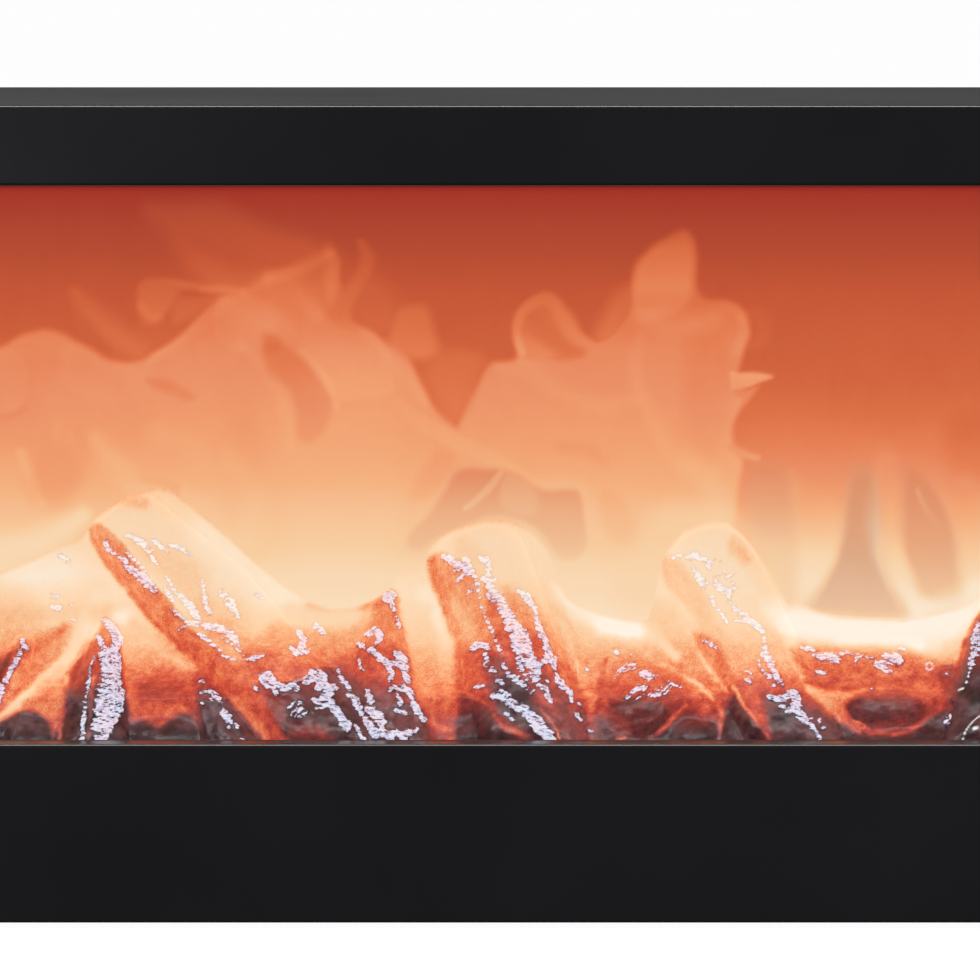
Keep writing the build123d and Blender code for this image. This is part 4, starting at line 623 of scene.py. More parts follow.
        ([(1405, 862), (1412, 872)], 12), ([(1478, 876), (1486, 884)], 10), ([(1380, 940), (1386, 942)], 6), ([(1268, 945), (1276, 955)], 8), ([(1410, 965), (1450, 930), (1490, 925)], [8, 16, 18]), ([(1440, 960), (1500, 940)], 8), ([(1400, 985), (1425, 960)], 4),
        ([(1484, 1055), (1520, 1030), (1556, 1030)], [20, 30, 20]), ([(1455, 1080), (1468, 1074)], 14), ([(1500, 1085), (1540, 1060)], 9), ([(1545, 965), (1568, 990)], 26),
    ):
        dab(tb(pts), w, K)
    K = 4.612
    for pts, w in (
        ([(5, 945), (40, 950), (80, 945)], [26, 22, 8]), ([(0, 1000), (20, 1008)], 24), ([(30, 1042), (80, 1035), (130, 1022)], [14, 22, 20]), ([(100, 1020), (150, 992), (190, 1000)], [12, 16, 12]), ([(130, 978), (150, 990)], 10), ([(60, 1010), (110, 1000)], 8),
        ([(150, 402), (190, 395)], [10, 12]), ([(215, 405), (255, 395), (300, 412)], [14, 24, 18]), ([(320, 425), (328, 430)], 8), ([(250, 455), (272, 500), (292, 535)], [14, 24, 18]), ([(290, 500), (310, 520)], 6),
        ([(310, 440), (322, 452)], 5), ([(345, 412), (366, 420)], 4), ([(340, 500), (372, 490)], 4), ([(390, 470), (396, 500)], 3), ([(400, 500), (430, 480)], 3),
        ([(345, 520), (375, 550), (412, 562)], [12, 26, 24]), ([(405, 560), (432, 545), (430, 522)], [14, 10, 6]), ([(410, 570), (415, 590)], 12),
        ([(328, 588), (345, 620), (372, 660), (402, 702)], [16, 9, 8, 6]), ([(415, 608), (440, 640), (460, 660)], [6, 10, 12]), ([(455, 650), (490, 668)], [14, 20]), ([(490, 690), (530, 712), (565, 742)], [16, 30, 22]), ([(440, 690), (470, 700)], 4),
        ([(566, 742), (574, 790), (575, 845)], [10, 12, 12]), ([(565, 845), (592, 868), (606, 900)], [22, 34, 30]), ([(548, 875), (556, 910)], [10, 14]), ([(600, 905), (625, 940), (642, 972)], [26, 32, 24]), ([(560, 925), (600, 950)], 18), ([(655, 970), (658, 990)], 12),
        ([(492, 970), (508, 982)], 22), ([(482, 930), (524, 938)], [12, 7]), ([(610, 990), (618, 996)], 6), ([(596, 1040), (640, 1056), (690, 1040)], [26, 28, 24]), ([(680, 1020), (715, 1040), (722, 1085)], [14, 44, 40]), ([(655, 1085), (690, 1110)], [20, 26]), ([(712, 1095), (748, 1135), (772, 1160)], [34, 36, 22]),
        ([(780, 1165), (805, 1190)], [20, 18]), ([(792, 1190), (818, 1210)], 12), ([(815, 1215), (834, 1245)], 10), ([(828, 1150), (834, 1158)], 10), ([(840, 1185), (850, 1190)], 8), ([(790, 1138), (796, 1142)], 7),
        ([(298, 790), (312, 796)], 12), ([(328, 806), (350, 816)], [12, 14]),
        ([(738, 818), (768, 826), (800, 834)], [8, 16, 8]), ([(800, 852), (840, 862), (880, 862), (912, 880)], [16, 34, 40, 26]), ([(880, 880), (908, 885)], 16), ([(918, 852), (950, 842)], [8, 6]), ([(958, 842), (990, 850)], 6),
        ([(1000, 858), (996, 885)], [10, 8]), ([(1010, 862), (1030, 855)], 5), ([(1040, 860), (1062, 872), (1080, 860)], [6, 10, 6]), ([(1082, 895), (1118, 902), (1150, 930)], [22, 44, 34]), ([(1128, 862), (1170, 862), (1206, 882)], [30, 46, 22]), ([(1150, 888), (1190, 896)], 16), ([(1195, 825), (1215, 830)], 12), ([(1130, 935), (1160, 940)], 10),
        ([(818, 932), (850, 936)], [20, 14]), ([(1068, 1008), (1074, 1010)], 5),
        ([(1405, 905), (1430, 912)], [8, 16]), ([(1410, 930), (1420, 950)], 10), ([(1470, 1012), (1484, 1010)], 6), ([(1434, 1062), (1438, 1066)], 6), ([(1432, 1128), (1424, 1165)], [8, 5]), ([(1412, 1140), (1408, 1180)], [5, 5]),
        ([(1562, 700), (1552, 750), (1540, 800)], [14, 30, 26]), ([(1545, 820), (1530, 880), (1515, 950), (1508, 980)], [30, 34, 18, 8]), ([(1568, 780), (1560, 850)], 20), ([(1600, 720), (1640, 800)], 24), ([(1640, 900), (1680, 1000)], 26), ([(1720, 760), (1760, 900)], 30),
    ):
        dab(tc(pts), w, K)
    K = 1.0
    for pts, w in (([(-120, 600), (-126, 640), (-140, 690)], [3, 7, 5]), ([(-96, 590), (-90, 640)], 4), ([(1084, 612), (1094, 660), (1108, 710)], [3, 7, 5]), ([(1070, 640), (1078, 690)], 4)):
        dab(pts, w, K)

    # the dry brush skips over the wrinkles of the bark, so the paint is ribbed across the log
    def ribs(pts, amount, slant, period, soft=6):
        nonlocal ash
        where = Sheet(u, v, np.zeros(u.shape))
        where.area(pts, 1.0, soft)
        wave = (0.5 + 0.5 * np.sin(2 * np.pi * (v + slant * u + 3.2 * fbm(u, v, 15, 201, 3)) / period)) ** 1.6
        cut = np.minimum(ash, 2.4) - amount * wave * np.interp(fbm(u, v, 9, 205, 2), [-0.35, 0.25], [0.2, 1.0])
        ash = np.where(where.f > 0, ash * (1 - where.f) + cut * where.f, ash)

    ribs([(94, 652), (132, 652), (134, 742), (78, 742), (84, 690)], 4.4, -0.25, 5.2)
    ribs([(468, 572), (500, 572), (524, 612), (552, 664), (550, 686), (500, 688), (478, 640)], 2.9, 0.35, 5.0)
    ribs([(596, 640), (700, 640), (700, 700), (600, 706)], 2.6, 0.9, 4.6)
    ribs([(100, 540), (250, 540), (260, 660), (180, 650)], 1.8, 0.45, 5.4)
    ribs([(660, 540), (770, 540), (780, 740), (740, 720), (690, 620)], 2.4, 0.3, 5.2)
    ribs([(800, 640), (910, 640), (910, 680), (800, 680)], 2.4, -0.5, 4.8)
    ribs([(940, 600), (1000, 600), (1000, 690), (940, 690)], 3.6, -0.2, 5.0)

    # painted highlights on the glossy resin, and a painted highlight ring round a bubble: small, bright and sharp
    painted_highlight = Sheet(u, v, np.zeros(u.shape))
    for pts, w in ((tc([(1488, 1252), (1500, 1208), (1528, 1168), (1568, 1134), (1600, 1120)]), 0.5), (tc([(1540, 1192), (1552, 1189)]), 1.5), (tc([(1430, 1130), (1426, 1156)]), 0.5), (tc([(1412, 1156), (1409, 1176)]), 0.5), (tc([(1470, 1014), (1490, 1008)]), 0.9)):
        painted_highlight.stroke(pts, w, 0.8, 0.5, mode="max")
    ring = np.hypot(u - (640 + 1335 / 4.612), v - (470 + 905 / 4.612))
    painted_highlight.f = np.maximum(painted_highlight.f, 0.75 * smooth(1 - np.abs(ring - 3.6) / 1.3))
    return light, grey, ash, painted_highlight.f


# ------------------------------------------------------------------ materials
def srgb(r, g, b):
    return tuple((c / 255 / 12.92) if c / 255 <= 0.04045 else ((c / 255 + 0.055) / 1.055) ** 2.4 for c in (r, g, b)) + (1.0,)


class Mat:
    def __init__(self, name, rough=0.5, metal=0.0, color=(0.5, 0.5, 0.5, 1)):
        self.m = bpy.data.materials.new(name)
        self.m.use_nodes = True
        self.t = self.m.node_tree
        self.b = self.t.nodes["Principled BSDF"]
        self.b.inputs["Roughness"].default_value = rough
        self.b.inputs["Metallic"].default_value = metal
        self.b.inputs["Base Color"].default_value = color

    def node(self, kind, **values):
        n = self.t.nodes.new(kind)
        for k, val in values.items():
            setattr(n, k, val)
        return n

    def link(self, a, b):
        self.t.links.new(a, b)

    def coords(self):
        return self.node("ShaderNodeTexCoord").outputs["Object"]

    def noise(self, scale, detail=3.0, rough=0.5, vector=None, stretch=None):
        n = self.node("ShaderNodeTexNoise")
        n.inputs["Scale"].default_value = scale
        n.inputs["Detail"].default_value = detail
        n.inputs["Roughness"].default_value = rough
        v = vector or self.coords()
        if stretch:
            m = self.node("ShaderNodeMapping")
            m.inputs["Scale"].default_value = stretch
            self.link(v, m.inputs["Vector"])
            v = m.outputs["Vector"]
        self.link(v, n.inputs["Vector"])
        return n.outputs["Fac"]

    def ramp(self, fac, stops, interpolation="LINEAR"):
        r = self.node("ShaderNodeValToRGB")
        r.color_ramp.interpolation = interpolation
        e = r.color_ramp.elements
        while len(e) > 1:
            e.remove(e[-1])
        e[0].position, e[0].color = stops[0]
        for p, c in stops[1:]:
            x = e.new(p)
            x.color = c
        self.link(fac, r.inputs["Fac"])
        return r.outputs["Color"]

    def math(self, op, a, b=None, clamp=False):
        n = self.node("ShaderNodeMath", operation=op)
        n.use_clamp = clamp
        for i, x in enumerate((a, b)):
            if x is None:
                continue
            if isinstance(x, (int, float)):
                n.inputs[i].default_value = x
            else:
                self.link(x, n.inputs[i])
        return n.outputs[0]

    def span(self, x, a, b, c=0.0, d=1.0, smoothstep=False):
        n = self.node("ShaderNodeMapRange")
        if smoothstep:
            n.interpolation_type = "SMOOTHSTEP"
        self.link(x, n.inputs["Value"])
        for key, val in (("From Min", a), ("From Max", b), ("To Min", c), ("To Max", d)):
            n.inputs[key].default_value = val
        return n.outputs["Result"]

    def mix(self, fac, a, b):
        n = self.node("ShaderNodeMix", data_type="RGBA")
        for key, x in ((0, fac), (6, a), (7, b)):
            if isinstance(x, (int, float, tuple)):
                n.inputs[key].default_value = x
            else:
                self.link(x, n.inputs[key])
        return n.outputs[2]

    def bump(self, height, strength, distance):
        n = self.node("ShaderNodeBump")
        n.inputs["Strength"].default_value = strength
        n.inputs["Distance"].default_value = distance
        self.link(height, n.inputs["Height"])
        self.link(n.outputs["Normal"], self.b.inputs["Normal"])
        return n

    def attribute(self, name):
        return self.node("ShaderNodeAttribute", attribute_name=name).outputs["Fac"]


def varied(name, color, rough, metal=0.0, scale=60.0, spread=0.12, rough_spread=0.1, bump=0.15, bump_mm=0.03, stretch=None, fine=900.0):
    """A finish with slow colour variation, uneven gloss and fine surface grain."""
    m = Mat(name, rough, metal)
    slow = m.noise(scale, 4, 0.55, stretch=stretch)
    lo = tuple(c * (1 - spread) for c in color[:3]) + (1,)
    hi = tuple(min(1, c * (1 + spread)) for c in color[:3]) + (1,)
    m.link(m.ramp(slow, [(0.3, lo), (0.7, hi)]), m.b.inputs["Base Color"])
    m.link(m.span(slow, 0.3, 0.7, rough - rough_spread / 2, rough + rough_spread / 2), m.b.inputs["Roughness"])
    m.bump(m.noise(fine, 2, 0.5, stretch=stretch), bump, bump_mm * MM)
    return m


def black_case(name, rough):
    m = Mat(name, rough)
    grain = m.noise(1400, 2, 0.5)
    slow = m.noise(14, 3, 0.5)
    dust = m.node("ShaderNodeTexVoronoi", feature="F1")
    dust.inputs["Scale"].default_value = 95.0
    m.link(m.coords(), dust.inputs["Vector"])
    rare = m.noise(23.0, 1, 0.5)
    fleck = m.math("MULTIPLY", m.span(dust.outputs["Distance"], 0.028, 0.018), m.span(rare, 0.60, 0.62))
    tone = m.ramp(slow, [(0.3, (0.0088, 0.0082, 0.0092, 1)), (0.7, (0.0120, 0.0112, 0.0125, 1))])
    m.link(m.mix(fleck, tone, (0.10, 0.10, 0.105, 1)), m.b.inputs["Base Color"])
    m.link(m.math("ADD", m.span(slow, 0.3, 0.7, rough - 0.03, rough + 0.03), m.math("MULTIPLY", fleck, 0.3)), m.b.inputs["Roughness"])
    m.bump(grain, 0.12, 0.02 * MM)
    return m.m


EMBER = [(34, (48, 22, 24)), (45, (76, 31, 32)), (59, (106, 38, 36)), (73, (138, 46, 37)), (87, (162, 54, 43)), (101, (188, 64, 48)), (115, (206, 77, 53)), (130, (220, 94, 61)), (144, (230, 111, 70)), (158, (238, 130, 84)), (172, (243, 149, 99)), (186, (247, 167, 117)), (200, (250, 187, 138)), (214, (252, 206, 162)), (226, (253, 219, 182)), (236, (254, 231, 203)), (246, (255, 243, 226))]
# colours of the flame film by brightness; the three darkest stops colour the painted shade under the top bezel
PRINT = [(14, (24, 8, 7)), (30, (52, 13, 10)), (52, (112, 32, 27)), (66, (142, 42, 35)), (78, (158, 46, 37)), (85, (166, 53, 39)), (97, (176, 68, 47)), (106, (184, 77, 49)), (118, (200, 87, 54)), (130, (211, 101, 62)), (142, (222, 113, 70)), (154, (231, 127, 83)), (167, (236, 144, 102)), (178, (242, 158, 112)), (192, (246, 176, 126)), (205, (248, 193, 147)), (215, (249, 206, 160)), (226, (251, 219, 183)), (238, (253, 236, 213))]
TAN = [(140, (208, 118, 80)), (156, (216, 136, 94)), (170, (219, 154, 115)), (184, (221, 172, 137)), (196, (227, 186, 156)), (208, (239, 201, 164))]


def stops(table):
    return [(p / 255.0, srgb(*c)) for p, c in table]


def ember_material():
    m = Mat("ember_resin", 0.42)
    light, grey, ash, painted_highlight = (m.attribute(n) for n in ("light", "grey", "ash", "painted_highlight"))
    coords = m.coords()
    spray = m.noise(2100, 2.0, 0.7, coords)
    blotch = m.noise(520, 3.0, 0.6, coords)
    speck = m.noise(3600, 1.0, 0.5, coords)
    # spray-paint grain shows where the resin is lit red and orange, and fades in the bright parts
    middle = m.math("MULTIPLY", m.span(light, 70, 130, 0.55, 1.0), m.span(light, 175, 220, 1.0, 0.08))
    grain = m.math("ADD", m.math("MULTIPLY", m.span(spray, 0.3, 0.7, -1, 1), 19.0), m.math("MULTIPLY", m.span(blotch, 0.3, 0.7, -1, 1), 16.0))
    grain = m.math("MULTIPLY", grain, middle)
    dots = m.math("MULTIPLY", m.span(speck, 0.64, 0.70), m.math("MULTIPLY", m.span(light, 140, 170, 0, 1), m.span(light, 190, 216, -34, 0)))
    clump = m.math("MULTIPLY", m.span(m.noise(240, 3.0, 0.55, coords), 0.34, 0.66, -16, 16), m.math("MULTIPLY", m.span(light, 80, 110), m.span(light, 150, 190, 1, 0)))
    level = m.math("ADD", m.math("ADD", m.math("ADD", light, grain), dots), clump)
    level = m.math("DIVIDE", level, 255.0)
    warm = m.ramp(level, stops(EMBER))
    lump = m.noise(210, 4.0, 0.55, coords)
    calm = m.math("ADD", light, m.math("MULTIPLY", grain, 0.35))
    dark = m.math("ADD", m.math("DIVIDE", calm, 255.0), m.span(lump, 0.32, 0.68, -0.09, 0.09))
    coal = m.ramp(dark, [(36 / 255, srgb(30, 18, 21)), (56 / 255, srgb(62, 38, 42)), (76 / 255, srgb(88, 60, 64)), (92 / 255, srgb(104, 70, 74)), (108 / 255, srgb(130, 70, 72)), (130 / 255, srgb(164, 78, 74)), (160 / 255, srgb(202, 108, 92))])
    color = m.mix(grey, warm, coal)
    # ash: broken by the drag of the brush
    drag = m.noise(950, 3.0, 0.65, coords, stretch=(0.45, 1.0, 1.25))
    edge = m.math("ADD", ash, m.math("MULTIPLY", m.span(drag, 0.30, 0.70, -1, 1), 1.7))
    edge = m.math("ADD", edge, 0.5)
    gap = m.span(drag, 0.37, 0.45, 0.0, 1.0, True)
    gap = m.math("MAXIMUM", gap, m.span(light, 120, 200, 0.0, 0.5))
    cover = m.math("MULTIPLY", m.span(edge, -0.2, 0.6, 0.0, 1.0, True), gap)
    rim = m.math("MULTIPLY", m.span(edge, -1.5, -0.4, 0.0, 1.0, True), m.span(light, 150, 215, 0.85, 0.4))
    color = m.mix(rim, color, m.ramp(level, [(0.3, srgb(48, 28, 36)), (0.5, srgb(140, 60, 62)), (0.65, srgb(206, 104, 84)), (0.85, srgb(226, 172, 144))]))
    # the white ash paint is coloured by the light level round it, bluish where the bed is dark and pinkish where it
    # glows: painted light; the shade ramp below is painted shade over the dabs
    ash_light_tint = m.ramp(level, [(0.25, srgb(216, 222, 240)), (0.40, srgb(228, 220, 236)), (0.55, srgb(246, 222, 231)), (0.72, srgb(254, 232, 232)), (0.85, srgb(255, 243, 235))])
    ash_light_tint = m.mix(m.span(m.noise(180, 2.0, 0.5, coords), 0.40, 0.60, 0.0, 0.55), ash_light_tint, m.ramp(level, [(0.3, srgb(236, 208, 220)), (0.6, srgb(250, 218, 224)), (0.85, srgb(255, 238, 230))]))
    shade = m.ramp(m.noise(1250, 3, 0.6, coords, stretch=(0.6, 1, 1.3)), [(0.32, (0.30, 0.24, 0.36, 1)), (0.41, (0.68, 0.63, 0.75, 1)), (0.50, (1, 1, 1, 1))])
    shade = m.mix(m.span(light, 150, 215, 0.0, 0.6), shade, (1, 1, 1, 1))
    mul = m.node("ShaderNodeMix", data_type="RGBA", blend_type="MULTIPLY")
    mul.inputs[0].default_value = 1.0
    m.link(ash_light_tint, mul.inputs[6])
    m.link(shade, mul.inputs[7])
    color = m.mix(cover, color, mul.outputs[2])
    color = m.mix(painted_highlight, color, (1.0, 0.98, 0.97, 1))
    # the resin glows by emission: the light of the lamps under it is painted into its colour
    m.link(color, m.b.inputs["Emission Color"])
    m.b.inputs["Emission Strength"].default_value = 1.05
    m.link(m.mix(0.9, color, (0.004, 0.003, 0.003, 1)), m.b.inputs["Base Color"])
    m.link(m.span(light, 70, 200, 0.38, 0.6), m.b.inputs["Roughness"])
    m.b.inputs["Specular IOR Level"].default_value = 0.35
    h = m.math("ADD", m.math("MULTIPLY", cover, 0.6), m.math("MULTIPLY", spray, 0.35))
    m.bump(h, 0.5, 0.25 * MM)
    return m.m


def flame_material():
    m = Mat("flame_print", 0.35)
    light, tan = m.attribute("light"), m.attribute("tan")
    grain = m.noise(1500, 2.0, 0.6)
    level = m.math("ADD", light, m.span(grain, 0.3, 0.7, -1.2, 1.2))
    level = m.math("DIVIDE", level, 255.0)
    color = m.mix(tan, m.ramp(level, stops(PRINT)), m.ramp(level, stops(TAN)))
    # the film glows by emission: the light of the lamps behind it is painted in, in the colours of the print
    m.link(color, m.b.inputs["Emission Color"])
    m.b.inputs["Emission Strength"].default_value = 1.09
    m.b.inputs["Base Color"].default_value = (0.004, 0.003, 0.003, 1)
    m.b.inputs["Specular IOR Level"].default_value = 0.1
    m.link(m.span(grain, 0.3, 0.7, 0.3, 0.4), m.b.inputs["Roughness"])
    return m.m


def clear_material():
    m = Mat("clear_pane", 0.04, color=(0.02, 0.021, 0.021, 1))
    m.b.inputs["Alpha"].default_value = 0.05
    m.b.inputs["IOR"].default_value = 1.49
    smear = m.noise(9, 3, 0.5)
    m.link(m.span(smear, 0.35, 0.7, 0.03, 0.09), m.b.inputs["Roughness"])
    m.m.blend_method = "BLEND"
    return m.m


# ------------------------------------------------------------------ meshes
def mesh_object(name, verts, faces, material, attributes=(), smooth_faces=True):
    me = bpy.data.meshes.new(name)
    me.from_pydata((np.asarray(verts) * MM).tolist(), [], faces)
    for key, values in attributes:
        a = me.attributes.new(key, "FLOAT", "POINT")
        a.data.foreach_set("value", np.asarray(values, np.float32))
    me.polygons.foreach_set("use_smooth", [smooth_faces] * len(me.polygons))
    me.materials.append(material)
    me.update()
    o = bpy.data.objects.new(name, me)
    scene.collection.objects.link(o)
    return o


def quads(cols, rows, start=0, flip=False):
    i, j = np.meshgrid(np.arange(cols - 1), np.arange(rows - 1), indexing="xy")
    a = start + j * cols + i
    f = np.stack([a, a + 1, a + 1 + cols, a + cols], -1).reshape(-1, 4)
    return (f[:, ::-1] if flip else f).tolist()


def flame_sheet():
    lo, hi = (np.array(c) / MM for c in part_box("flame_screen"))
    xs = np.concatenate([np.linspace(lo[0], -126, 24, endpoint=False), np.linspace(-126, 126, 382, endpoint=False), np.linspace(126, hi[0], 24)])
    zs = np.concatenate([np.linspace(lo[2], 62, 10, endpoint=False), np.linspace(62, hi[2], 190)])
    gx, gz = np.meshgrid(xs, zs, indexing="xy")
    gx, gz = gx.ravel(), gz.ravel()
    n = len(gx)
    u, v = sheet_of(gx, np.full(n, lo[1]), gz)
    light = flame_light(u, v)
    tan = Sheet(u, v, np.zeros(n))
    tan.area([(850, 470), (870, 466), (880, 500), (882, 550), (892, 584), (908, 614), (870, 618), (806, 612), (824, 582), (838, 556), (844, 520)], [(440, 0.3), (490, 0.75), (560, 0.9), (610, 0.8)], 8)
    tan.area([(906, 470), (932, 484), (950, 520), (962, 560), (962, 598), (936, 602), (914, 584), (905, 550), (902, 505)], 0.5, 10)
    tan.area([(750, 470), (784, 470), (796, 500), (798, 560), (790, 600), (770, 560), (750, 530)], 0.35, 12)
    tan.area([(400, 552), (427, 516), (441, 495), (458, 472), (505, 471), (539, 490), (576, 491), (588, 548), (562, 562), (498, 530), (436, 552)], 0.35, 10)
    cols, rows = len(xs), len(zs)
    front = np.stack([gx, np.full(n, lo[1]), gz], 1)
    # the film has a real thickness: its back and its four narrow edges close it
    corner = [0, cols - 1, n - 1, n - cols]
    ring = list(range(0, cols - 1)) + list(range(cols - 1, n - 1, cols)) + list(range(n - 1, n - cols, -1)) + list(range(n - cols, 0, -cols))
    back = front[ring].copy()
    back[:, 1] = hi[1]
    verts = np.vstack([front, back])
    faces = quads(cols, rows)
    m = len(ring)
    for k in range(m):
        a, b = ring[k], ring[(k + 1) % m]
        faces.append([b, a, n + k, n + (k + 1) % m])
    faces.append([n + k for k in range(m)][::-1])
    pad = np.concatenate([light, light[ring]])
    padt = np.concatenate([tan.f, tan.f[ring]])
    o = mesh_object("flame_print_film", verts, faces, flame_material(), [("light", pad), ("tan", padt)], smooth_faces=False)
    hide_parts("flame_screen")
    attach(o, "case")
    return o


LOGS = [  # centre line on the sheet, radius there, bulge in mm
    ([(132, 530), (215, 612), (300, 705), (345, 770)], [40, 52, 46, 46], 9.0),
    ([(384, 610), (385, 660), (398, 760)], [17, 34, 42], 6.5),
    ([(482, 566), (506, 640), (540, 760)], [48, 52, 52], 9.0),
    ([(712, 566), (748, 640), (805, 760)], [46, 46, 44], 8.5),
    ([(1012, 606), (996, 670), (985, 770)], [32, 38, 48], 9.0),
    ([(108, 640), (98, 700), (92, 765)], [18, 30, 38], 6.5),
    ([(205, 692), (238, 768)], [13, 32], 4.0),
    ([(24, 645), (-6, 710), (-40, 780)], [12, 26, 34], 6.0),
    ([(-92, 592), (-112, 660), (-140, 770)], [34, 38, 44], 8.0),
    ([(1084, 622), (1102, 680), (1130, 770)], [30, 36, 44], 7.5),
]
LUMPS = [(645, 700, 44, 42, 5.0), (888, 708, 48, 24, 4.5), (22, 738, 40, 26, 3.5), (165, 735, 38, 20, 3.0), (694, 735, 26, 18, 2.5), (744, 730, 26, 32, 3.5), (905, 744, 66, 18, 3.0), (160, 694, 26, 22, 2.5), (852, 662, 56, 14, 2.5), (485, 734, 30, 24, 3.0), (45, 580, 60, 40, 4.0), (300, 650, 60, 30, 2.5)]


def log_bed():
    us = np.concatenate([np.linspace(-172, -12, 36, endpoint=False), np.linspace(-12, 992, 553, endpoint=False), np.linspace(992, 1152, 36)])
    cols = len(us)                        # 625, so 156 coarse steps of four
    rows = 141
    t = np.linspace(0, 1, rows)
    edge = np.interp(us, *np.array(TOP_EDGE, float).T)
    k = np.array([0.06, 0.24, 0.4, 0.24, 0.06])
    edge = np.convolve(np.pad(edge, 2, mode="edge"), k, mode="valid")
    gu, gt = np.meshgrid(us, t, indexing="xy")
    ge = np.broadcast_to(edge, gu.shape)
    bottom = 751.0
    gv = bottom + (ge - bottom) * gt
    u, v, e = gu.ravel(), gv.ravel(), ge.ravel()
    light, grey, ash, painted_highlight = ember_light(u, v, e)
    # at its top edge the bed is thin: the light of the flames behind it is painted into its colour
    thin = smooth((v - e) / 7.0)
    light = flame_light(u, v) * (1 - thin) + light * thin
    ash = np.where(v - e < 3, -9.0, ash)

    ridge = 606.0
    f = np.clip((bottom - v) / (bottom - ridge), 0, 1.6)
    depth = 15.5 + 35.5 * np.minimum(f, 1.0) + 3.0 * np.clip(f - 1, 0, 1)
    bulge = np.zeros(u.shape)
    for pts, rad, high in LOGS:
        p = curve(pts)
        d, a = line_distance(u, v, p)
        r = np.interp(a, np.linspace(0, 1, len(rad)), rad)
        h = high * np.sqrt(np.clip(1 - (d / r) ** 2, 0, 1)) ** 1.15
        bulge = np.where(h > bulge, h + 0.25 * np.minimum(bulge, 2.0) * smooth(h / 3.0), bulge + 0.15 * h)
    for cx, cy, rx, ry, high in LUMPS:
        q = ((u - cx) / rx) ** 2 + ((v - cy) / ry) ** 2
        bulge += high * np.clip(1 - q, 0, 1) ** 1.5
    # bark furrows along each log, coal pits, and the thickness of the ash paint
    furrow = np.zeros(u.shape)
    for pts, rad, high in LOGS:
        p = curve(pts)
        d, a = line_distance(u, v, p)
        r = np.interp(a, np.linspace(0, 1, len(rad)), rad)
        side = np.cos(d / r * 9.0 + 2.0 * fbm(u, v, 26, 90, 2))
        furrow += np.where(d < r, 0.22 * side, 0.0)
    low = smooth((v - 640) / 70.0)
    bulge += furrow + (0.25 + 0.55 * low) * fbm(u, v, 13, 100, 4) + 0.5 * low * fbm(u, v, 34, 110, 2)
    bulge += 0.32 * smooth((ash + 1.2) / 2.2)
    # the furrows, noise and ash paint as if lit from above: their slope adds painted shade and painted highlight to the
    # light attribute
    rough = (furrow * 0.6 + (0.3 + 0.9 * low) * fbm(u, v, 11, 100, 4) + 0.8 * smooth((ash + 1.0) / 2.0)).reshape(rows, cols)
    slope = -np.gradient(rough, axis=0) / np.maximum(np.abs(np.gradient(gv, axis=0)), 0.3)
    slope += 0.5 * np.gradient(rough, axis=1) / 1.8
    painted_slope_shade = np.clip(slope.ravel() * 60.0, -26, 22) * np.interp(light, [60, 110, 180, 225], [0.7, 1.0, 0.75, 0.2])
    light = light + painted_slope_shade * smooth((v - e - 4) / 10.0)
    bulge *= smooth((v - e) / 9.0) * 0.85 + 0.15
    depth = depth - bulge
    floor_d = 10.6
    depth = floor_d + np.where(depth - floor_d > 3, depth - floor_d, 3 * np.exp(np.minimum((depth - floor_d) - 3, 0) / 3))
    depth = np.minimum(depth, 53.2)
    # keep clear of the light strip that stands behind the foot of the bed
    _, _, z0 = place(u, v, depth)
    led_lo, led_hi = (np.array(c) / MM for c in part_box("log_leds"))
    lim = np.interp(z0, [led_hi[2] + 1.6, led_hi[2] + 14.0], [led_lo[1] - FRONT - 2.4, 70.0])
    depth = -1.5 * np.log(np.exp(-depth / 1.5) + np.exp(-lim / 1.5))
    x, y, z = place(u, v, depth)
    x = np.clip(x, -157.2, 157.2)
    z = np.maximum(z, 42.1)
    grid = np.stack([x, np.full(x.shape, 0.0) + y, z], 1).reshape(rows, cols, 3)
    # four more rows go down behind the ridge, so the bed has its own back
    top = grid[-1]
    back = []
    for s in (0.04, 0.3, 0.65, 1.0):
        row = top.copy()
        row[:, 1] = 3.0
        start = top[:, 2] - 0.8 - 0.16 * (3.0 - top[:, 1])     # stays below the line of sight over the ridge
        row[:, 2] = start - (start - 42.1) * s
        back.append(row)
    grid = np.concatenate([grid, np.array(back)], 0)
    rows += 4

    def extend(a, fill=None):
        a = a.reshape(rows - 4, cols)
        tail = np.repeat(a[-1:] if fill is None else np.full((1, cols), fill), 4, 0)
        return np.concatenate([a, tail], 0).ravel()

    light, grey, ash, painted_highlight = extend(light), extend(grey), extend(ash, -9.0), extend(painted_highlight, 0.0)
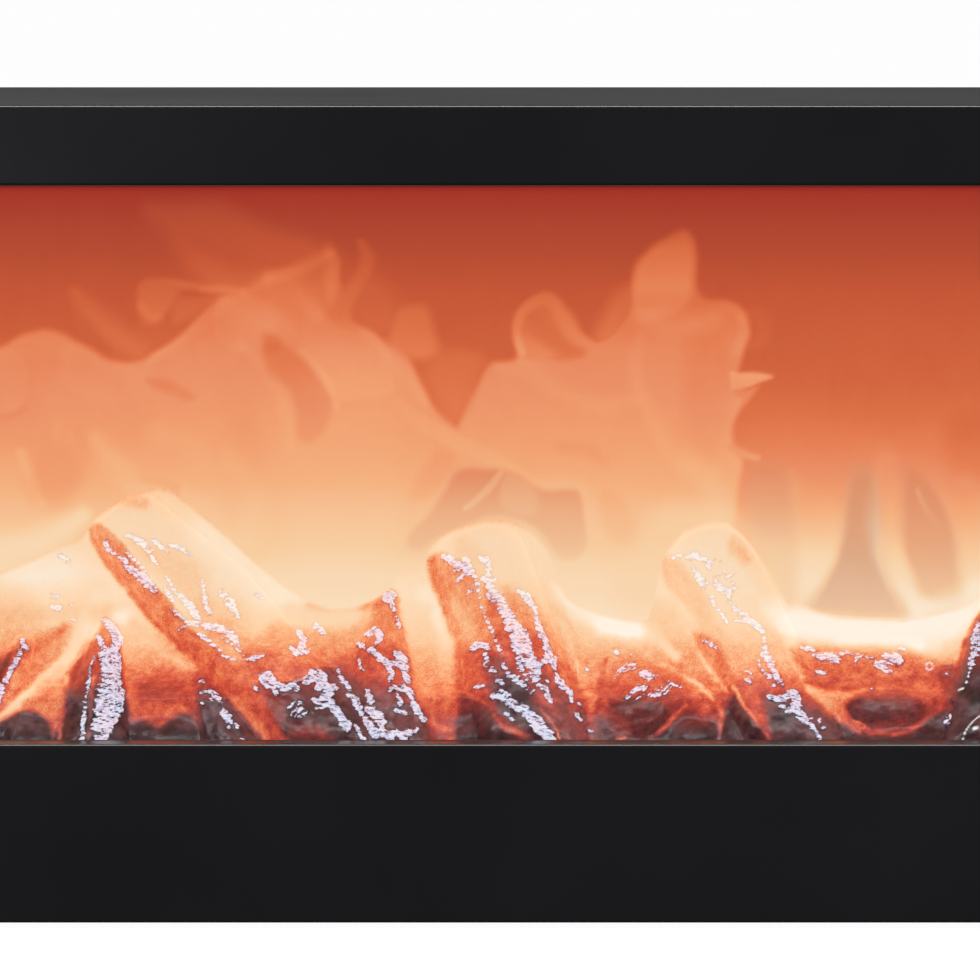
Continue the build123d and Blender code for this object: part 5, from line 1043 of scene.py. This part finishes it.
    # inner skin: a coarse copy, one wall thickness inside
    du = np.gradient(grid, axis=1)
    dt = np.gradient(grid, axis=0)
    nrm = np.cross(du, dt)
    nrm /= np.linalg.norm(nrm, axis=2, keepdims=True) + 1e-9
    for _ in range(3):
        nrm[1:-1, 1:-1] = (nrm[1:-1, 1:-1] * 2 + nrm[:-2, 1:-1] + nrm[2:, 1:-1] + nrm[1:-1, :-2] + nrm[1:-1, 2:]) / 6
    coarse = grid[::4, ::4] - 1.2 * nrm[::4, ::4] / (np.linalg.norm(nrm[::4, ::4], axis=2, keepdims=True) + 1e-9)
    coarse[:-2, :, 1] = np.clip(coarse[:-2, :, 1], -41.6, 1.7)
    coarse[-2] = grid[-5, ::4] + np.array([0, 0.4, -1.8])
    coarse[-2, :, 1] = np.clip(coarse[-2, :, 1], 1.2, 1.8)
    coarse[-1, :, 1] = 1.9
    coarse[:, :, 2] = np.maximum(coarse[:, :, 2], 42.1)
    cc, cr = coarse.shape[1], coarse.shape[0]
    n = rows * cols
    verts = np.vstack([grid.reshape(-1, 3), coarse.reshape(-1, 3)])
    faces = quads(cols, rows) + quads(cc, cr, n, flip=True)
    for i in range(cc - 1):
        low_f = [i * 4 + q for q in range(5)]
        faces.append(low_f[::-1] + [n + i, n + i + 1])
        hi_f = [(rows - 1) * cols + i * 4 + q for q in range(5)]
        faces.append(hi_f + [n + (cr - 1) * cc + i + 1, n + (cr - 1) * cc + i])
    for j in range(cr - 1):
        lf = [(j * 4 + q) * cols for q in range(5)]
        faces.append(lf + [n + (j + 1) * cc, n + j * cc])
        rf = [(j * 4 + q) * cols + cols - 1 for q in range(5)]
        faces.append(rf[::-1] + [n + j * cc + cc - 1, n + (j + 1) * cc + cc - 1])
    sub = np.arange(n).reshape(rows, cols)[::4, ::4].ravel()
    attrs = [("light", np.concatenate([light, light[sub]])), ("grey", np.concatenate([grey, grey[sub]])), ("ash", np.concatenate([ash, np.full(len(sub), -9.0)])), ("painted_highlight", np.concatenate([painted_highlight, np.zeros(len(sub))]))]
    o = mesh_object("ember_log_bed", verts, faces, ember_material(), attrs)
    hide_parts("log_bed")
    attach(o, "case")
    return o


flame_sheet()
log_bed()

# ------------------------------------------------------------------ finishes on the CAD pieces
case_black = black_case("case_black", 0.24)
finish = {
    "black_plastic": case_black,
    "clear_acrylic": clear_material(),
    "switch_plastic": varied("switch_black", (0.02, 0.02, 0.021, 1), 0.55, bump=0.4, bump_mm=0.05).m,
    "rubber": varied("rubber_black", (0.018, 0.018, 0.018, 1), 0.85, bump=0.5, bump_mm=0.08, fine=1200).m,
    "black_foam": varied("foam_black", (0.012, 0.012, 0.012, 1), 0.95, bump=0.9, bump_mm=0.15, fine=1500).m,
    "steel": varied("zinc_steel", (0.56, 0.56, 0.58, 1), 0.34, 1.0, scale=90, bump=0.15, stretch=(0.3, 1, 1)).m,
    "bright_steel": varied("nickel_shell", (0.68, 0.67, 0.64, 1), 0.2, 1.0, scale=120, rough_spread=0.06, bump=0.06).m,
    "black_steel": varied("black_oxide", (0.03, 0.03, 0.032, 1), 0.38, 0.8, scale=200, bump=0.15).m,
    "painted_steel": varied("matt_black_paint", (0.012, 0.011, 0.011, 1), 0.7, bump=0.35, bump_mm=0.05, fine=1600).m,
    "zinc_plate": varied("zinc_plate", (0.58, 0.58, 0.6, 1), 0.4, 1.0, scale=150, spread=0.2, bump=0.2).m,
    "opal_acrylic": varied("opal_acrylic", (0.85, 0.84, 0.8, 1), 0.5, scale=40, spread=0.03, bump=0.1).m,
    "grey_plastic": varied("channel_grey", (0.035, 0.035, 0.036, 1), 0.5, bump=0.3).m,
    "circuit_board": varied("solder_mask_green", (0.015, 0.11, 0.045, 1), 0.32, scale=300, spread=0.35, bump=0.25, bump_mm=0.05, fine=500).m,
    "black_component": varied("component_black", (0.02, 0.02, 0.022, 1), 0.45, scale=200, bump=0.2).m,
    "reflector": varied("silvered_sheet", (0.72, 0.72, 0.73, 1), 0.22, 1.0, scale=35, rough_spread=0.12, bump=0.3, bump_mm=0.1, fine=120).m,
    "brass": varied("turned_brass", (0.72, 0.5, 0.2, 1), 0.3, 1.0, scale=200, bump=0.2, stretch=(4, 1, 1)).m,
    "red_wire": varied("wire_red", (0.42, 0.02, 0.015, 1), 0.4, scale=300, bump=0.15).m,
    "black_wire": varied("wire_black", (0.015, 0.015, 0.015, 1), 0.4, scale=300, bump=0.15).m,
    "foil_flag": varied("mirror_foil", (0.8, 0.8, 0.82, 1), 0.12, 1.0, scale=80, rough_spread=0.08, bump=0.4, bump_mm=0.12, fine=160).m,
    "white_acetal": varied("acetal_white", (0.78, 0.78, 0.74, 1), 0.42, scale=60, spread=0.04, bump=0.15).m,
}


def led_material():
    m = Mat("led_amber", 0.1)
    band = m.noise(400, 2, 0.5)
    color = m.ramp(band, [(0.35, srgb(255, 150, 50)), (0.7, srgb(255, 196, 110))])
    m.link(color, m.b.inputs["Emission Color"])
    m.link(color, m.b.inputs["Base Color"])
    m.b.inputs["Emission Strength"].default_value = 1.6
    return m.m


def cell_material():
    """Plain jacket in two colours along the cell, with bright metal ends."""
    m = Mat("cell_jacket", 0.3, 0.3)
    sep = m.node("ShaderNodeSeparateXYZ")
    m.link(m.coords(), sep.inputs[0])
    x = sep.outputs["X"]
    along = m.math("MODULO", m.math("ADD", m.math("MULTIPLY", x, 1 / MM), 69.8 + 500.0), 50.0)
    metal = m.math("MAXIMUM", m.math("LESS_THAN", along, 1.4), m.math("GREATER_THAN", along, 47.2))
    band = m.math("GREATER_THAN", along, 34.0)
    jacket = m.mix(band, (0.02, 0.02, 0.024, 1), (0.52, 0.30, 0.08, 1))
    grain = m.noise(300, 3, 0.5)
    jacket = m.mix(m.span(grain, 0.3, 0.7, 0.0, 0.25), jacket, (0.10, 0.09, 0.08, 1))
    m.link(m.mix(metal, jacket, (0.62, 0.62, 0.62, 1)), m.b.inputs["Base Color"])
    m.link(m.math("MAXIMUM", metal, 0.3), m.b.inputs["Metallic"])
    m.bump(grain, 0.1, 0.03 * MM)
    return m.m


finish["led_amber"] = led_material()
finish["cell_jacket"] = cell_material()
slots = {s["node"]: s["material_slot"] for s in frame["record"]["subparts"]}
for name, o in nodes.items():
    if o.hide_render:
        continue
    mat = finish[slots[name]]
    o.data.materials.clear()
    o.data.materials.append(mat)

# ------------------------------------------------------------------ stage, light
def plane(name, verts, material):
    me = bpy.data.meshes.new(name)
    me.from_pydata(verts, [], [(0, 1, 2, 3)])
    me.materials.append(material)
    o = bpy.data.objects.new(name, me)
    scene.collection.objects.link(o)
    return o


floor_mat = Mat("stage_white", 0.9, color=(0.06, 0.06, 0.06, 1))
floor_mat.b.inputs["Emission Color"].default_value = (1, 1, 1, 1)
floor_mat.b.inputs["Emission Strength"].default_value = 0.965
floor = plane("stage_floor", [(-4, -3, 0), (4, -3, 0), (4, 3, 0), (-4, 3, 0)], floor_mat.m)
floor.visible_glossy = False
floor.visible_diffuse = False

world = bpy.data.worlds.new("studio")
scene.world = world
world.use_nodes = True
wt = world.node_tree
bg = wt.nodes["Background"]
path = wt.nodes.new("ShaderNodeLightPath")
mixw = wt.nodes.new("ShaderNodeMix")
mixw.data_type = "RGBA"
sky = wt.nodes.new("ShaderNodeTexCoord")
parts = wt.nodes.new("ShaderNodeSeparateXYZ")
wt.links.new(sky.outputs["Generated"], parts.inputs[0])
ramp = wt.nodes.new("ShaderNodeValToRGB")
half = wt.nodes.new("ShaderNodeMapRange")
half.inputs["From Min"].default_value = -1.0
wt.links.new(parts.outputs["Y"], half.inputs["Value"])
wt.links.new(half.outputs["Result"], ramp.inputs["Fac"])
ramp.color_ramp.elements[0].position, ramp.color_ramp.elements[0].color = 0.3, (0.122, 0.121, 0.129, 1)
ramp.color_ramp.elements[1].position, ramp.color_ramp.elements[1].color = 0.8, (0.052, 0.047, 0.049, 1)
low_z = wt.nodes.new("ShaderNodeMapRange")              # behind and below the horizon: lights the rear cover only
low_z.inputs["From Min"].default_value, low_z.inputs["From Max"].default_value = 0.0, -0.10
wt.links.new(parts.outputs["Z"], low_z.inputs["Value"])
behind = wt.nodes.new("ShaderNodeMapRange")
behind.inputs["From Min"].default_value, behind.inputs["From Max"].default_value = 0.1, 0.5
wt.links.new(parts.outputs["Y"], behind.inputs["Value"])
both = wt.nodes.new("ShaderNodeMath")
both.operation = "MULTIPLY"
wt.links.new(low_z.outputs["Result"], both.inputs[0])
wt.links.new(behind.outputs["Result"], both.inputs[1])
rear = wt.nodes.new("ShaderNodeMix")
rear.data_type = "RGBA"
wt.links.new(both.outputs[0], rear.inputs[0])
wt.links.new(ramp.outputs["Color"], rear.inputs[6])
rear.inputs[7].default_value = (0.20, 0.20, 0.21, 1)
wt.links.new(rear.outputs[2], mixw.inputs[6])
mixw.inputs[7].default_value = (0.985, 0.985, 0.99, 1)
wt.links.new(path.outputs["Is Camera Ray"], mixw.inputs[0])
wt.links.new(mixw.outputs[2], bg.inputs["Color"])
bg.inputs["Strength"].default_value = 1.0


def area(name, loc, target, size, power, color=(1, 1, 1)):
    d = bpy.data.lights.new(name, "AREA")
    d.shape = "RECTANGLE"
    d.size, d.size_y = size
    d.energy = power
    d.color = color
    o = bpy.data.objects.new(name, d)
    o.location = loc
    o.rotation_euler = (Vector(target) - Vector(loc)).to_track_quat("-Z", "Y").to_euler()
    scene.collection.objects.link(o)
    o.visible_camera = False
    return o


area("top_softbox", (0, -0.25, 1.1), (0, -0.05, 0.1), (1.6, 0.4), 22)
area("left_panel", (-0.66, -1.15, 0.10), (-0.1, 0, 0.12), (0.44, 0.17), 1.5, (0.93, 0.92, 1.0))
area("right_panel", (0.72, -1.15, 0.10), (0.1, 0, 0.12), (0.40, 0.17), 0.9, (0.86, 0.95, 1.0))
area("rear_fill", (0.2, 1.6, 0.8), (0, 0, 0.1), (1.6, 0.8), 0.7)
area("rear_key", (0.75, 1.25, 0.10), (0, 0.05, 0.10), (0.7, 0.16), 6.0)
